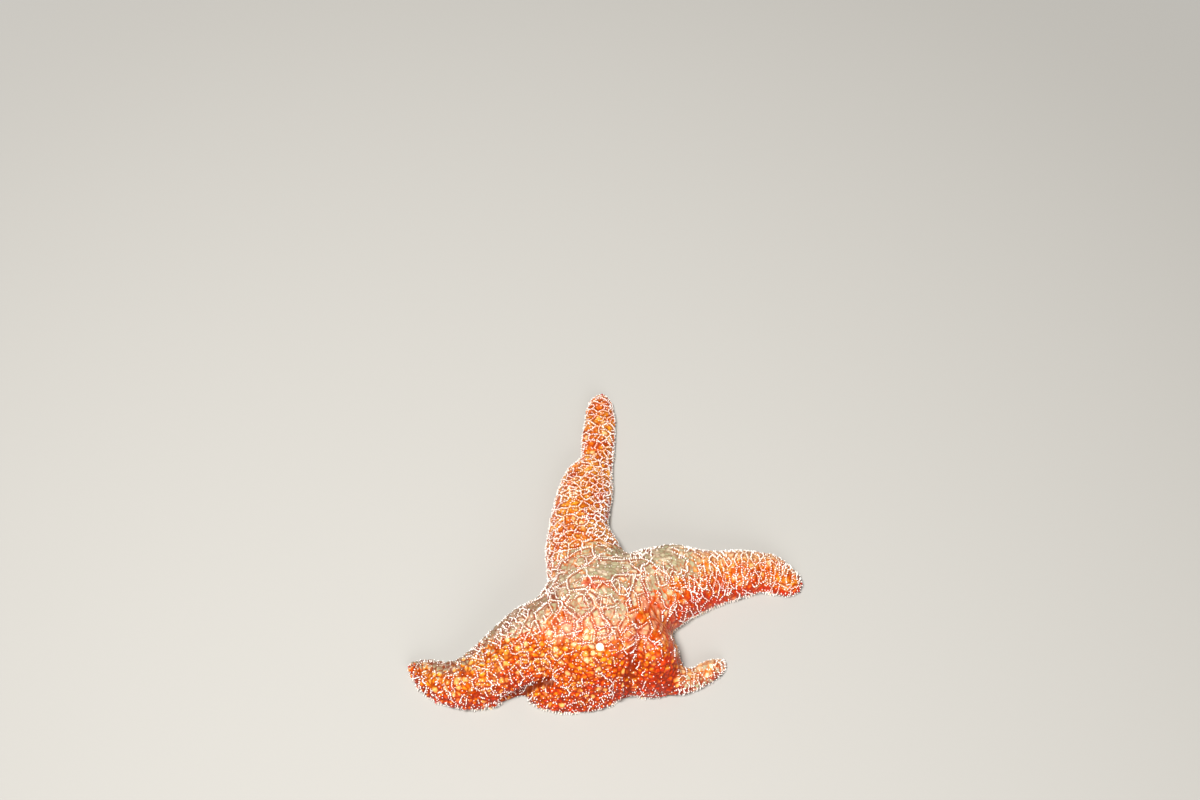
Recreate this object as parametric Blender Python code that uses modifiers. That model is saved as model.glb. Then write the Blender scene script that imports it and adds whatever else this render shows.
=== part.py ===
"""Ochre sea star, life size, at rest on the floor. The body is blocked out from five lofted arms
and a domed disc, melted into one form, cut flat underneath, grooved, and parted by thin cuts into
the disc and the lengths of its arms. Metres, +Z up, the origin on the floor under the middle of
the body's box."""

import math

import bmesh
import bpy
from mathutils import Matrix, Vector

MM = 0.001

# Stations on each arm's midline from root to tip, in millimetres: x, y, half width, crown height.
ARMS = {
    "upper_arm": (
        (-6, -40, 29, 48),
        (-15, -3, 25, 34),
        (-17, 14, 20, 29),
        (-15, 31, 19, 26),
        (-11, 47, 18, 21),
        (-5, 61, 12, 16),
        (-4, 80, 12, 14),
        (-3, 98, 11, 12),
        (-2, 110, 8, 8),
        (-1, 117, 1, 2),
    ),
    "right_arm": (
        (12, -42, 31, 48),
        (42, -27, 28, 39),
        (57, -24, 23, 33),
        (75, -21, 18, 27),
        (92, -18, 16, 23),
        (105, -17, 14, 19),
        (116, -22, 12, 15),
        (124, -27, 9, 11),
        (128, -30, 3, 5),
    ),
    "lower_right_arm": (
        (16, -62, 24, 48),
        (30, -79, 20, 42),
        (44, -91, 10, 20),
        (58, -88, 8, 13),
        (67, -83, 8, 12),
        (75, -78, 6, 9),
        (79, -75, 2, 4),
    ),
    "lower_arm": (
        (-11, -66, 32, 50),
        (-16, -86, 38, 43),
        (-19, -98, 34, 30),
        (-19, -106, 25, 15),
        (-19, -111, 10, 4),
    ),
    "left_arm": (
        (-20, -60, 32, 50),
        (-48, -70, 27, 42),
        (-69, -84, 22, 33),
        (-86, -92, 18, 26),
        (-103, -91, 14, 20),
        (-116, -84, 10, 14),
        (-128, -79, 2, 4),
    ),
}
RINGS_PER_STATION = 4
RING_POINTS = 20
MARGIN_SHARE = 0.14  # an arm is widest at this share of its crown height, and tucks in below it
SKIRT = 7 * MM  # how far the blocked-out forms reach below the floor before the base is cut flat

# Domes melted in with the arms: centre x, y and the three radii, in millimetres.
DISC_CENTRE = Vector((-4, -54)) * MM
DOMES = {
    "disc_dome": (-4, -54, 43, 46, 54),
    "lower_right_swelling": (30, -78, 19, 24, 44),
}
VOXEL = 2.6 * MM
MELT_STEPS = 9
FACE_SHARE = 0.22  # share of the melted body's triangles that its solids keep

DISC_RADIUS = 38 * MM
# The webs where neighbouring arms meet at the edge, in order round the disc, in millimetres.
WEBS = ((18, -5), (46, -58), (15, -97), (-59, -103), (-40, -22))
WEB_OVERRUN = 8 * MM
CUT = 0.3 * MM
CUT_TOP = 80 * MM
CUT_OVERRUN = 6 * MM
ARM_CUTS = {  # where an arm is parted across, as shares of its midline from root to tip
    "upper_arm": (0.53, 0.77),
    "right_arm": (0.54, 0.78),
    "lower_right_arm": (0.50,),
    "lower_arm": (),
    "left_arm": (0.56, 0.78),
}
LENGTH_NAMES = {1: ("",), 2: ("_root", "_tip"), 3: ("_root", "_middle", "_tip")}

GROOVE_HALF_WIDTH = 4.5 * MM
GROOVE_AXIS_HEIGHT = 1.5 * MM
GROOVE_END = 0.93  # share of the midline where the groove runs out
MOUTH_RADIUS = 9 * MM
MOUTH_DEPTH = 10 * MM
MEMBRANE_RADII = (8.5 * MM, 8.5 * MM, 2.2 * MM)
MEMBRANE_HEIGHT = 7 * MM

MADREPORITE_AT = Vector((-3, -80)) * MM
MADREPORITE_RADIUS = 3.4 * MM
MADREPORITE_SUNK = 2.4 * MM
MADREPORITE_PROUD = 1.0 * MM

ORANGE = (0.87, 0.19, 0.02)
DEEP_ORANGE = (0.80, 0.10, 0.01)
DUSTED_ORANGE = (0.72, 0.30, 0.12)
CREAM = (0.85, 0.74, 0.55)
PALE_FLESH = (0.75, 0.48, 0.32)


def clear_scene():
    for thing in list(bpy.data.objects):
        bpy.data.objects.remove(thing, do_unlink=True)


def new_collection(name):
    group = bpy.data.collections.new(name)
    bpy.context.scene.collection.children.link(group)
    return group


def new_object(name, mesh, group):
    thing = bpy.data.objects.new(name, mesh)
    group.objects.link(thing)
    return thing


def mesh_from(bm, name):
    bmesh.ops.recalc_face_normals(bm, faces=bm.faces)
    mesh = bpy.data.meshes.new(name)
    bm.to_mesh(mesh)
    bm.free()
    return mesh


def evaluated_mesh(thing):
    """The object's mesh with its modifiers worked in."""
    graph = bpy.context.evaluated_depsgraph_get()
    return bpy.data.meshes.new_from_object(thing.evaluated_get(graph))


def skin_material(name, colour, roughness):
    material = bpy.data.materials.new(name)
    material.use_nodes = True
    shader = material.node_tree.nodes["Principled BSDF"]
    shader.inputs["Base Color"].default_value = (*colour, 1)
    shader.inputs["Roughness"].default_value = roughness
    shader.inputs["Metallic"].default_value = 0
    material.diffuse_color = (*colour, 1)
    return material


def midline(arm):
    """The arm's stations in metres with smooth steps put between them (a Catmull-Rom curve)."""
    knots = [Vector(station) * MM for station in ARMS[arm]]
    knots = [2 * knots[0] - knots[1], *knots, 2 * knots[-1] - knots[-2]]
    points = []
    for before, start, end, after in zip(knots, knots[1:], knots[2:], knots[3:]):
        for step in range(RINGS_PER_STATION):
            t = step / RINGS_PER_STATION
            points.append(
                0.5
                * (
                    2 * start
                    + (end - before) * t
                    + (2 * before - 5 * start + 4 * end - after) * t**2
                    + (3 * start - before - 3 * end + after) * t**3
                )
            )
    return points + [knots[-2]]


def station_at(arm, share):
    """The place and the heading at a share of the midline's length, root to tip."""
    points = midline(arm)
    places = [Vector((point.x, point.y)) for point in points]
    run = [0.0]
    for here, there in zip(places, places[1:]):
        run.append(run[-1] + (there - here).length)
    wanted = share * run[-1]
    index = next(i for i, length in enumerate(run[1:]) if length >= wanted)
    t = (wanted - run[index]) / (run[index + 1] - run[index])
    heading = (places[index + 1] - places[index]).normalized()
    return points[index].lerp(points[index + 1], t), heading


def lofted_arm(arm):
    """Rings of one domed section, carried along the midline and capped at both ends."""
    points = midline(arm)
    bm = bmesh.new()
    rings = []
    for index, point in enumerate(points):
        ahead = points[min(index + 1, len(points) - 1)]
        behind = points[max(index - 1, 0)]
        heading = Vector((ahead.x - behind.x, ahead.y - behind.y)).normalized()
        margin = MARGIN_SHARE * point.w
        ring = []
        for corner in range(RING_POINTS):
            turn = 2 * math.pi * corner / RING_POINTS
            across = point.z * math.cos(turn)
            reach = point.w - margin if math.sin(turn) > 0 else margin + SKIRT
            height = margin + reach * math.sin(turn)
            place = (point.x - heading.y * across, point.y + heading.x * across, height)
            ring.append(bm.verts.new(place))
        rings.append(ring)
    for low, high in zip(rings, rings[1:]):
        for corner in range(RING_POINTS):
            after = (corner + 1) % RING_POINTS
            bm.faces.new((low[corner], low[after], high[after], high[corner]))
    bm.faces.new(rings[0])
    bm.faces.new(rings[-1])
    return mesh_from(bm, arm)


def dome(name, radii, centre):
    bm = bmesh.new()
    bmesh.ops.create_uvsphere(bm, u_segments=32, v_segments=16, radius=1)
    bmesh.ops.transform(bm, matrix=Matrix.Diagonal((*radii, 1)), verts=bm.verts)
    bmesh.ops.translate(bm, vec=centre, verts=bm.verts)
    return mesh_from(bm, name)


def blocked_out_body(group):
    """All the lofts and domes in one mesh, melted into a single smooth form."""
    bm = bmesh.new()
    for arm in ARMS:
        bm.from_mesh(lofted_arm(arm))
    for name, (x, y, *radii) in DOMES.items():
        radii = [radius * MM for radius in radii]
        bm.from_mesh(dome(name, radii, (x * MM, y * MM, 0)))
    body = new_object("body_block", mesh_from(bm, "body_block"), group)
    melt = body.modifiers.new("melt", "REMESH")
    melt.mode = "VOXEL"
    melt.voxel_size = VOXEL
    relax = body.modifiers.new("relax", "SMOOTH")
    relax.factor = 0.5
    relax.iterations = MELT_STEPS
    thin = body.modifiers.new("fewer_faces", "DECIMATE")
    thin.ratio = FACE_SHARE
    return body


def cut_flat(mesh):
    """Everything below the floor is taken off and the base closed, so the body lies on a flat."""
    bm = bmesh.new()
    bm.from_mesh(mesh)
    bmesh.ops.bisect_plane(
        bm,
        geom=[*bm.verts, *bm.edges, *bm.faces],
        plane_co=(0, 0, 0),
        plane_no=(0, 0, -1),
        clear_outer=True,
    )
    bmesh.ops.holes_fill(bm, edges=bm.edges, sides=0)
    bmesh.ops.triangulate(bm, faces=[face for face in bm.faces if len(face.verts) > 4])
    return mesh_from(bm, "body")


def wall(name, start, end, group):
    """An upright cutter as thick as a cut, from one place on the floor to another."""
    along = end - start
    middle = (start + end) / 2
    height = CUT_TOP + SKIRT
    size = Matrix.Diagonal((along.length, CUT, height, 1))
    turn = Matrix.Rotation(math.atan2(along.y, along.x), 4, "Z")
    place = Matrix.Translation((middle.x, middle.y, height / 2 - SKIRT))
    bm = bmesh.new()
    bmesh.ops.create_cube(bm, size=1, matrix=place @ turn @ size)
    return new_object(name, mesh_from(bm, name), group)


def disc_walls(group):
    """A five-sided wall round the disc, and a wall from each of its corners out past the web."""
    webs = [Vector(web) * MM for web in WEBS]
    rays = [(web - DISC_CENTRE).normalized() for web in webs]
    corners = [DISC_CENTRE + ray * DISC_RADIUS for ray in rays]
    for index, (corner, web, ray) in enumerate(zip(corners, webs, rays)):
        after = corners[(index + 1) % len(corners)]
        overlap = (after - corner).normalized() * CUT
        wall(f"disc_side_{index}", corner - overlap, after + overlap, group)
        wall(f"web_side_{index}", corner, web + ray * WEB_OVERRUN, group)


def arm_walls(group):
    for arm, shares in ARM_CUTS.items():
        for share in shares:
            station, heading = station_at(arm, share)
            centre = Vector((station.x, station.y))
            side = Vector((-heading.y, heading.x)) * (station.z + CUT_OVERRUN)
            wall(f"{arm}_cut_{share}", centre - side, centre + side, group)


def groove(arm, group):
    """The furrow under an arm: a tube that narrows from the mouth to the arm's tip."""
    path = bpy.data.curves.new(f"{arm}_groove", "CURVE")
    path.dimensions = "3D"
    path.bevel_depth = GROOVE_HALF_WIDTH
    path.bevel_resolution = 3
    path.use_fill_caps = True
    spline = path.splines.new("POLY")
    shares = [GROOVE_END * step / 10 for step in range(11)]
    places = [station_at(arm, share)[0] for share in shares]
    spline.points.add(len(places))
    spline.points[0].co = (*DISC_CENTRE, GROOVE_AXIS_HEIGHT, 1)
    for point, place, share in zip(spline.points[1:], places, shares):
        point.co = (place.x, place.y, GROOVE_AXIS_HEIGHT, 1)
        point.radius = 1 - 0.6 * share
    tube = new_object(f"{arm}_groove", path, group)
    mesh = evaluated_mesh(tube)
    bpy.data.objects.remove(tube)
    bm = bmesh.new()
    bm.from_mesh(mesh)
    bmesh.ops.remove_doubles(bm, verts=bm.verts, dist=0.01 * MM)
    return new_object(f"{arm}_furrow", mesh_from(bm, f"{arm}_furrow"), group)


def drum(name, radius, depth, place, group):
    """An upright cylinder that stands on place, turned by place's own rotation."""
    bm = bmesh.new()
    rise = Matrix.Translation((0, 0, depth / 2))
    bmesh.ops.create_cone(
        bm, cap_ends=True, segments=24, radius1=radius, radius2=radius, depth=depth, matrix=rise
    )
    bmesh.ops.transform(bm, matrix=place, verts=bm.verts)
    return new_object(name, mesh_from(bm, name), group)


def madreporite_seat(body):
    """Where the sieve plate sits: a frame on the disc's surface with its Z along the normal."""
    above = Vector((*MADREPORITE_AT, CUT_TOP))
    _, place, normal, _ = body.ray_cast(above, Vector((0, 0, -1)))
    turn = normal.to_track_quat("Z", "Y").to_matrix().to_4x4()
    return Matrix.Translation(place) @ turn @ Matrix.Translation((0, 0, -MADREPORITE_SUNK))


def madreporite(seat, group):
    """The sieve plate: a low rounded button in its own pocket."""
    lift = Matrix.Translation((0, 0, CUT))
    depth = MADREPORITE_SUNK + MADREPORITE_PROUD
    plate = drum("madreporite", MADREPORITE_RADIUS, depth, seat @ lift, group)
    edge = plate.modifiers.new("rounded_edge", "BEVEL")
    edge.width = 0.8 * MM
    edge.segments = 2
    edge.limit_method = "ANGLE"
    return plate


def mouth_membrane(group):
    centre = (*DISC_CENTRE, MEMBRANE_HEIGHT)
    return new_object("mouth_membrane", dome("mouth_membrane", MEMBRANE_RADII, centre), group)


def carve(body, cutters):
    """Takes the cutters away from the body and returns its loose pieces as objects."""
    cut = body.modifiers.new("cuts_and_grooves", "BOOLEAN")
    cut.operand_type = "COLLECTION"
    cut.collection = cutters
    cut.operation = "DIFFERENCE"
    cut.solver = "EXACT"
    body.data = evaluated_mesh(body)
    body.modifiers.clear()
    before = set(bpy.data.objects)
    bpy.context.view_layer.objects.active = body
    body.select_set(True)
    bpy.ops.mesh.separate(type="LOOSE")
    loose = set(bpy.data.objects) - before
    return [body, *sorted(loose, key=lambda piece: piece.name)]


def length_anchors():
    """A place inside each piece, by the piece's name."""
    anchors = {"central_disc": DISC_CENTRE}
    for arm, cuts in ARM_CUTS.items():
        ends = (0.25, *cuts, 1.0)
        names = LENGTH_NAMES[len(cuts) + 1]
        for suffix, low, high in zip(names, ends, ends[1:]):
            station, _ = station_at(arm, (low + high) / 2)
            anchors[arm + suffix] = Vector((station.x, station.y))
    return anchors


def name_pieces(pieces):
    """Each piece takes the name of the nearest anchor to the middle of its box."""
    anchors = length_anchors()
    for piece in pieces:
        corners = [Vector(corner) for corner in piece.bound_box]
        middle = (corners[0] + corners[6]) / 2
        plan = Vector((middle.x, middle.y))
        nearest = min(anchors, key=lambda name: (anchors[name] - plan).length)
        piece.name = nearest
        piece.data.name = nearest
        del anchors[nearest]


def stand_on_origin(pieces, group):
    """An empty that carries every piece, moved so that the origin is under the box's middle."""
    bpy.context.view_layer.update()
    corners = [piece.matrix_world @ Vector(corner) for piece in pieces for corner in piece.bound_box]
    lowest = Vector(min(corner[axis] for corner in corners) for axis in range(3))
    highest = Vector(max(corner[axis] for corner in corners) for axis in range(3))
    carrier = new_object("sea_star_origin", None, group)
    carrier.location = (-(lowest.x + highest.x) / 2, -(lowest.y + highest.y) / 2, -lowest.z)
    for piece in pieces:
        piece.parent = carrier


def finish(piece, colour, roughness):
    piece.data.materials.clear()
    piece.data.materials.append(skin_material(f"{piece.name}_skin", colour, roughness))
    piece.data.shade_smooth()
    piece.data.set_sharp_from_angle(angle=math.radians(40))


def make_star():
    clear_scene()
    star = new_collection("ochre_sea_star")
    cutters = new_collection("cutters")
    cutters.hide_render = True

    block = blocked_out_body(cutters)
    body = new_object("body", cut_flat(evaluated_mesh(block)), star)
    bpy.data.objects.remove(block)
    bpy.context.view_layer.update()

    seat = madreporite_seat(body)
    pocket_depth = MADREPORITE_SUNK + CUT_OVERRUN
    drum("madreporite_pocket", MADREPORITE_RADIUS + CUT, pocket_depth, seat, cutters)
    below = Matrix.Translation((*DISC_CENTRE, -SKIRT))
    drum("mouth_recess", MOUTH_RADIUS, SKIRT + MOUTH_DEPTH, below, cutters)
    for arm in ARMS:
        groove(arm, cutters)
    disc_walls(cutters)
    arm_walls(cutters)
    for cutter in cutters.objects:
        cutter.hide_render = True
        cutter.display_type = "WIRE"

    pieces = carve(body, cutters)
    name_pieces(pieces)
    for piece in pieces:
        if piece.name == "central_disc":
            finish(piece, DUSTED_ORANGE, 0.45)
        elif piece.name.startswith("lower"):
            finish(piece, DEEP_ORANGE, 0.35)
        else:
            finish(piece, ORANGE, 0.4)
    plate = madreporite(seat, star)
    finish(plate, CREAM, 0.6)
    membrane = mouth_membrane(star)
    finish(membrane, PALE_FLESH, 0.4)
    stand_on_origin([*pieces, plate, membrane], star)


make_star()
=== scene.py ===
# %% [markdown]
# # An ochre sea star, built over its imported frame
#
# An ochre sea star is a thick, domed disc that runs out into tapering arms. Its skin is
# orange and wet, and small white knobs of lime stand on it in a raised net. The packed
# model gives the body in fifteen solids. This lesson lays one skin over them, works out
# the net on that skin, and then plants the knobs along the net as solid mesh.
#
# Everything is worked out in millimetres with numpy, in whole arrays, and is turned into
# metres only when it is put into a mesh.

import bpy
import numpy as np
from mathutils.kdtree import KDTree
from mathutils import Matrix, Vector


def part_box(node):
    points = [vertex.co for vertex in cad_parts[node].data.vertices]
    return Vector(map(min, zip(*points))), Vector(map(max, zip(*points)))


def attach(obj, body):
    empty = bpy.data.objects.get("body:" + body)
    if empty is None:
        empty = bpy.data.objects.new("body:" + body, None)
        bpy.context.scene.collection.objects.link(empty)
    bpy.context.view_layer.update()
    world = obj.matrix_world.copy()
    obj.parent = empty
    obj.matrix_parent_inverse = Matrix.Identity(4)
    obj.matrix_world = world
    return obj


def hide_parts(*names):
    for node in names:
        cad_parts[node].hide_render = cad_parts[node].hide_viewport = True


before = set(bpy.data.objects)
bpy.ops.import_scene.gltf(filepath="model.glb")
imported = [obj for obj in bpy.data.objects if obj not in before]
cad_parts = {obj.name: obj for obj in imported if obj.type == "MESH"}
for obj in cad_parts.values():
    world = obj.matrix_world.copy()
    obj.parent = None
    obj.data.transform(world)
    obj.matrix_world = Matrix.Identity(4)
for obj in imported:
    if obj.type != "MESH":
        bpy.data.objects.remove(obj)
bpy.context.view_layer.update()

MM = 0.001
BODY = "root"

# %% [markdown]
# ## Arms and their midlines
#
# The disc carries five arms, and each arm is a row of solids from root to tip. A midline
# through the middles of those solids tells every later step which way an arm runs there.
# The middles are read from the frame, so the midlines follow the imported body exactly.

# %% Name the solids of each arm
ARMS = {
    "right_arm": ("right_arm_root", "right_arm_middle", "right_arm_tip"),
    "upper_arm": ("upper_arm_root", "upper_arm_middle", "upper_arm_tip"),
    "left_arm": ("left_arm_root", "left_arm_middle", "left_arm_tip"),
    "lower_arm": ("lower_arm",),
    "lower_right_arm": ("lower_right_arm_root", "lower_right_arm_tip"),
}
FLESH = ("central_disc",) + tuple(node for nodes in ARMS.values() for node in nodes)
print(len(FLESH), "solids of flesh")


# %% Find the middles of the solids
def node_points(node):
    """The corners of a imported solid's mesh, in millimetres."""
    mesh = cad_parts[node].data
    points = np.empty(len(mesh.vertices) * 3)
    mesh.vertices.foreach_get("co", points)
    return points.reshape(-1, 3) / MM


def box_middle(node):
    """The middle of a solid's box, in millimetres."""
    low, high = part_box(node)
    return (np.array(low) + np.array(high)) / 2 / MM


DISC_MIDDLE = box_middle("central_disc")
MOUTH = box_middle("mouth_membrane")
PLATE = box_middle("madreporite")
print("disc's middle at", DISC_MIDDLE.round(1), "and sieve plate at", PLATE.round(1), "mm")


# %% Find the midline of each arm
def arm_midline(nodes, steps=12):
    """Mouth, each solid's mean point and the corner farthest out, joined and cut into even steps."""
    stops = [MOUTH[:2]] + [node_points(node)[:, :2].mean(axis=0) for node in nodes]
    last = node_points(nodes[-1])[:, :2]
    heading = stops[-1] - stops[-2]
    stops.append(last[np.argmax((last - stops[-1]) @ heading)])
    stops = np.array(stops)
    gone = np.append(0, np.cumsum(np.linalg.norm(np.diff(stops, axis=0), axis=1)))
    even = np.linspace(0, gone[-1], steps)
    return np.stack([np.interp(even, gone, stops[:, i]) for i in (0, 1)], axis=1)


midlines = {name: arm_midline(nodes) for name, nodes in ARMS.items()}
for name, line in midlines.items():
    print(name, "runs", round(float(np.linalg.norm(line[-1] - line[0]))), "mm out to", line[-1].round())

# %% [markdown]
# ## Camera
#
# The star is seen from in front and well above, so that its front lobes come towards the
# eye and its upper arm lies back. A 50 mm lens a little over a metre away keeps the arms
# in proportion. It aims a little behind the star, which so sits low in the frame.

# %% Place the camera
LENS = 50
SENSOR = 36
LOOK_DOWN = 64.346
STAND = (-0.00395, -0.3904, 1.03766)

tilt = np.radians(LOOK_DOWN)
camera_data = bpy.data.cameras.new("camera")
camera_data.lens = LENS
camera_data.sensor_width = SENSOR
camera = bpy.data.objects.new("camera", camera_data)
camera.location = STAND
camera.rotation_euler = (np.pi / 2 - tilt, 0, 0)
bpy.context.scene.collection.objects.link(camera)
bpy.context.scene.camera = camera
print("camera stands at", STAND, "and looks down by", LOOK_DOWN, "degrees")

# %% [markdown]
# ## Helpers for materials
#
# Every finish here is a tree of nodes, because nodes stay sharp however close the eye
# comes, and a picture doesn't. Most helpers below add one or two nodes and give back the
# socket that comes out, so a finish reads as a chain of short lines.


# %% Small helpers for materials
def link(tree, output, target):
    """Joins an output socket to an input socket, or sets the input if the output is a number or colour."""
    if hasattr(output, "is_output"):
        tree.links.new(output, target)
    elif np.ndim(output) == 1:
        target.default_value = (*output, 1)
    else:
        target.default_value = output


def fill(tree, node, inputs):
    """Links or sets inputs of a node. An underscore in an input's name stands for a space."""
    for name, value in inputs.items():
        link(tree, value, node.inputs[name.replace("_", " ")])


def added(tree, kind, settings=None, **inputs):
    """A new node of that kind, with its settings made and its inputs filled."""
    node = tree.nodes.new("ShaderNode" + kind)
    for name, value in (settings or {}).items():
        setattr(node, name, value)
    fill(tree, node, inputs)
    return node


def read(tree, name):
    """The stored number of that name."""
    return added(tree, "Attribute", {"attribute_name": name}).outputs["Fac"]


def mixed(tree, share, low, high):
    """Colour low where share is 0, colour high where it is 1."""
    return added(tree, "Mix", {"data_type": "RGBA"}, Factor=share, A=low, B=high).outputs["Result"]


def sums(tree, kind, *values):
    """One Math node: ADD, MULTIPLY, SUBTRACT and so on, kept between 0 and 1."""
    node = added(tree, "Math", {"operation": kind, "use_clamp": True})
    for value, target in zip(values, node.inputs):
        link(tree, value, target)
    return node.outputs[0]


# %% Patterns for materials
def own_place(tree):
    """Object coordinates, which are the model's own metres."""
    return added(tree, "TexCoord").outputs["Object"]


def noise(tree, scale, detail=3.0, rough=0.55):
    """Noise from 0 to 1, with scale in lumps per metre."""
    sizes = {"Scale": scale, "Detail": detail, "Roughness": rough}
    return added(tree, "TexNoise", **sizes, Vector=own_place(tree)).outputs["Fac"]


def cells(tree, scale):
    """Distance to the middle of small cells, for the tips of the skin gills."""
    return added(tree, "TexVoronoi", Scale=scale, Vector=own_place(tree)).outputs["Distance"]


def stretched(tree, value, low, high):
    """A number stretched so that low becomes 0 and high becomes 1."""
    curve = {"interpolation_type": "SMOOTHSTEP"}
    return added(tree, "MapRange", curve, Value=value, From_Min=low, From_Max=high).outputs["Result"]


def bumped(tree, shader, height, strength, distance):
    """Bump from a height of 0 to 1, where distance is its depth in metres."""
    node = added(tree, "Bump", Height=height, Strength=strength, Distance=distance)
    fill(tree, shader, {"Normal": node.outputs["Normal"]})


# %% Start a material
def new_material(name, **sockets):
    """(material, its node tree, its Principled BSDF) with the given sockets set."""
    material = bpy.data.materials.new(name)
    material.use_nodes = True
    shader = material.node_tree.nodes["Principled BSDF"]
    fill(material.node_tree, shader, sockets)
    return material, material.node_tree, shader


def two_tone(name, share, low, high, lumps=None, **sockets):
    """A material of colour low where share(tree) is 0 and high where it is 1. If lumps is given, as
    (lumps per metre, strength), it has fine bumps too."""
    material, tree, shader = new_material(name, **sockets)
    link(tree, mixed(tree, share(tree), low, high), shader.inputs["Base Color"])
    if lumps:
        bumped(tree, shader, noise(tree, lumps[0]), lumps[1], 0.0002)
    return material


def faded(tree, share, near, far, output):
    """Shows the shader near where share is 0 and the shader far where it is 1."""
    node = added(tree, "MixShader")
    for value, target in zip((share, near, far), node.inputs):
        link(tree, value, target)
    fill(tree, tree.nodes[output], {"Surface": node.outputs[0]})


# %% [markdown]
# ## Floor and light
#
# The floor is one pale sheet. A lamp high above lights the upper surfaces, a broad and
# weaker one in front opens the shadows under the lobes, and a dim world fills the rest,
# much as an open sky does. Far from the star the floor fades into the pale wall, as a
# sheet of studio paper does, so no edge shows behind the star from any side.


# %% Mix the finish of the floor
FLOOR_COLOUR = (0.37, 0.356, 0.328)
FLOOR_FADES = (0.5, 1.15)
WALL = (0.8, 0.79, 0.76)
WALL_GLOW = 0.9
floor_sheet, tree, shader = new_material("floor_sheet", Base_Color=FLOOR_COLOUR, Roughness=0.85)
far_floor = added(tree, "Emission", Color=WALL, Strength=WALL_GLOW)
distance = added(tree, "VectorMath", {"operation": "LENGTH"}, Vector=own_place(tree))
far = stretched(tree, distance.outputs["Value"], *FLOOR_FADES)
faded(tree, far, shader.outputs[0], far_floor.outputs[0], "Material Output")
print("the floor's finish has", len(tree.nodes), "nodes")

# %% Lay the floor
FLOOR_SIDE = 16
half = FLOOR_SIDE / 2
floor_mesh = bpy.data.meshes.new("floor")
corners = [(-half, -half, 0), (half, -half, 0), (half, half, 0), (-half, half, 0)]
floor_mesh.from_pydata(corners, [], [(0, 1, 2, 3)])
floor_mesh.materials.append(floor_sheet)
floor = bpy.data.objects.new("floor", floor_mesh)
bpy.context.scene.collection.objects.link(floor)
print("floor is", FLOOR_SIDE, "m on a side and fades between", FLOOR_FADES, "m")


# %% Hang the lamps
LAMP_AIM = (0, -0.02, 0.02)
LAMPS = {"lamp_high": ((-0.3, -0.2, 1.55), 42, 0.4), "lamp_front": ((0.4, -1.3, 0.9), 12, 1.0)}


def lamp(name, place, power, size):
    """A square area lamp at a place in metres, turned from straight down until it faces the star."""
    data = bpy.data.lights.new(name, "AREA")
    data.energy = power
    data.size = size
    made = bpy.data.objects.new(name, data)
    made.location = place
    away = np.array(place) - np.array(LAMP_AIM)
    flat = np.hypot(away[0], away[1])
    made.rotation_euler = (np.arctan2(flat, away[2]), 0, np.arctan2(away[0], -away[1]))
    bpy.context.scene.collection.objects.link(made)


for name, (place, power, size) in LAMPS.items():
    lamp(name, place, power, size)
    print(name, "gives", power, "watts from", place)

# %% Set the sky and the wall
SKY = (1, 0.97, 0.92)
SKY_GLOW = 0.2
world = bpy.data.worlds.new("sky")
world.use_nodes = True
tree = world.node_tree
sky = tree.nodes["Background"]
fill(tree, sky, {"Color": SKY, "Strength": SKY_GLOW})
wall = added(tree, "Background", Color=WALL, Strength=WALL_GLOW)
seen_straight = added(tree, "LightPath").outputs["Is Camera Ray"]
faded(tree, seen_straight, sky.outputs[0], wall.outputs[0], "World Output")
bpy.context.scene.world = world
bpy.context.scene.view_settings.view_transform = "Standard"
print("sky lights with", SKY_GLOW, "and the wall shows with", WALL_GLOW)

# %% [markdown]
# ## One skin over the body
#
# The body's solids are cut apart by thin gaps, which the live animal doesn't have. A copy
# of each solid is pushed out until the gaps close, and Blender's Remesh modifier then
# wraps the whole in even squares. Smoothing takes off the steps, and one subdivision makes
# the squares small enough to carry the net. The skin is then drawn in by the depth of the
# coat of knobs, so that the knobs reach out to the body's true outline.


# %% Make a mesh and read one
def mesh_from(name, points, faces):
    """A mesh from points in millimetres and an array of faces that all have as many corners."""
    mesh = bpy.data.meshes.new(name)
    mesh.vertices.add(len(points))
    mesh.vertices.foreach_set("co", (points * MM).ravel())
    mesh.loops.add(faces.size)
    mesh.loops.foreach_set("vertex_index", faces.ravel().astype(np.int32))
    mesh.polygons.add(len(faces))
    mesh.polygons.foreach_set("loop_start", np.arange(0, faces.size, faces.shape[1], dtype=np.int32))
    mesh.polygons.foreach_set("use_smooth", np.ones(len(faces), bool))
    mesh.update(calc_edges=True)
    mesh.validate()
    return mesh


def triangles_in(mesh):
    """(points in millimetres, triangles) of a mesh."""
    mesh.calc_loop_triangles()
    points = np.empty(len(mesh.vertices) * 3)
    mesh.vertices.foreach_get("co", points)
    faces = np.empty(len(mesh.loop_triangles) * 3, np.int32)
    mesh.loop_triangles.foreach_get("vertices", faces)
    return points.reshape(-1, 3) / MM, faces.reshape(-1, 3)


# %% Helpers for wrapping
def joined_solids(nodes):
    """Every triangle of the named solids, with corners of its own."""
    parts = []
    for node in nodes:
        points, faces = triangles_in(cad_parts[node].data)
        parts.append(points[faces.ravel()])
    points = np.concatenate(parts)
    return points, np.arange(len(points)).reshape(-1, 3)


def through_modifiers(name, mesh, add):
    """The mesh that comes out of the modifiers which add(helper) puts on a helper object."""
    helper = bpy.data.objects.new(name, mesh)
    bpy.context.scene.collection.objects.link(helper)
    add(helper)
    finished = helper.evaluated_get(bpy.context.evaluated_depsgraph_get())
    made = bpy.data.meshes.new_from_object(finished)
    bpy.data.objects.remove(helper)
    return made


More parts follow.
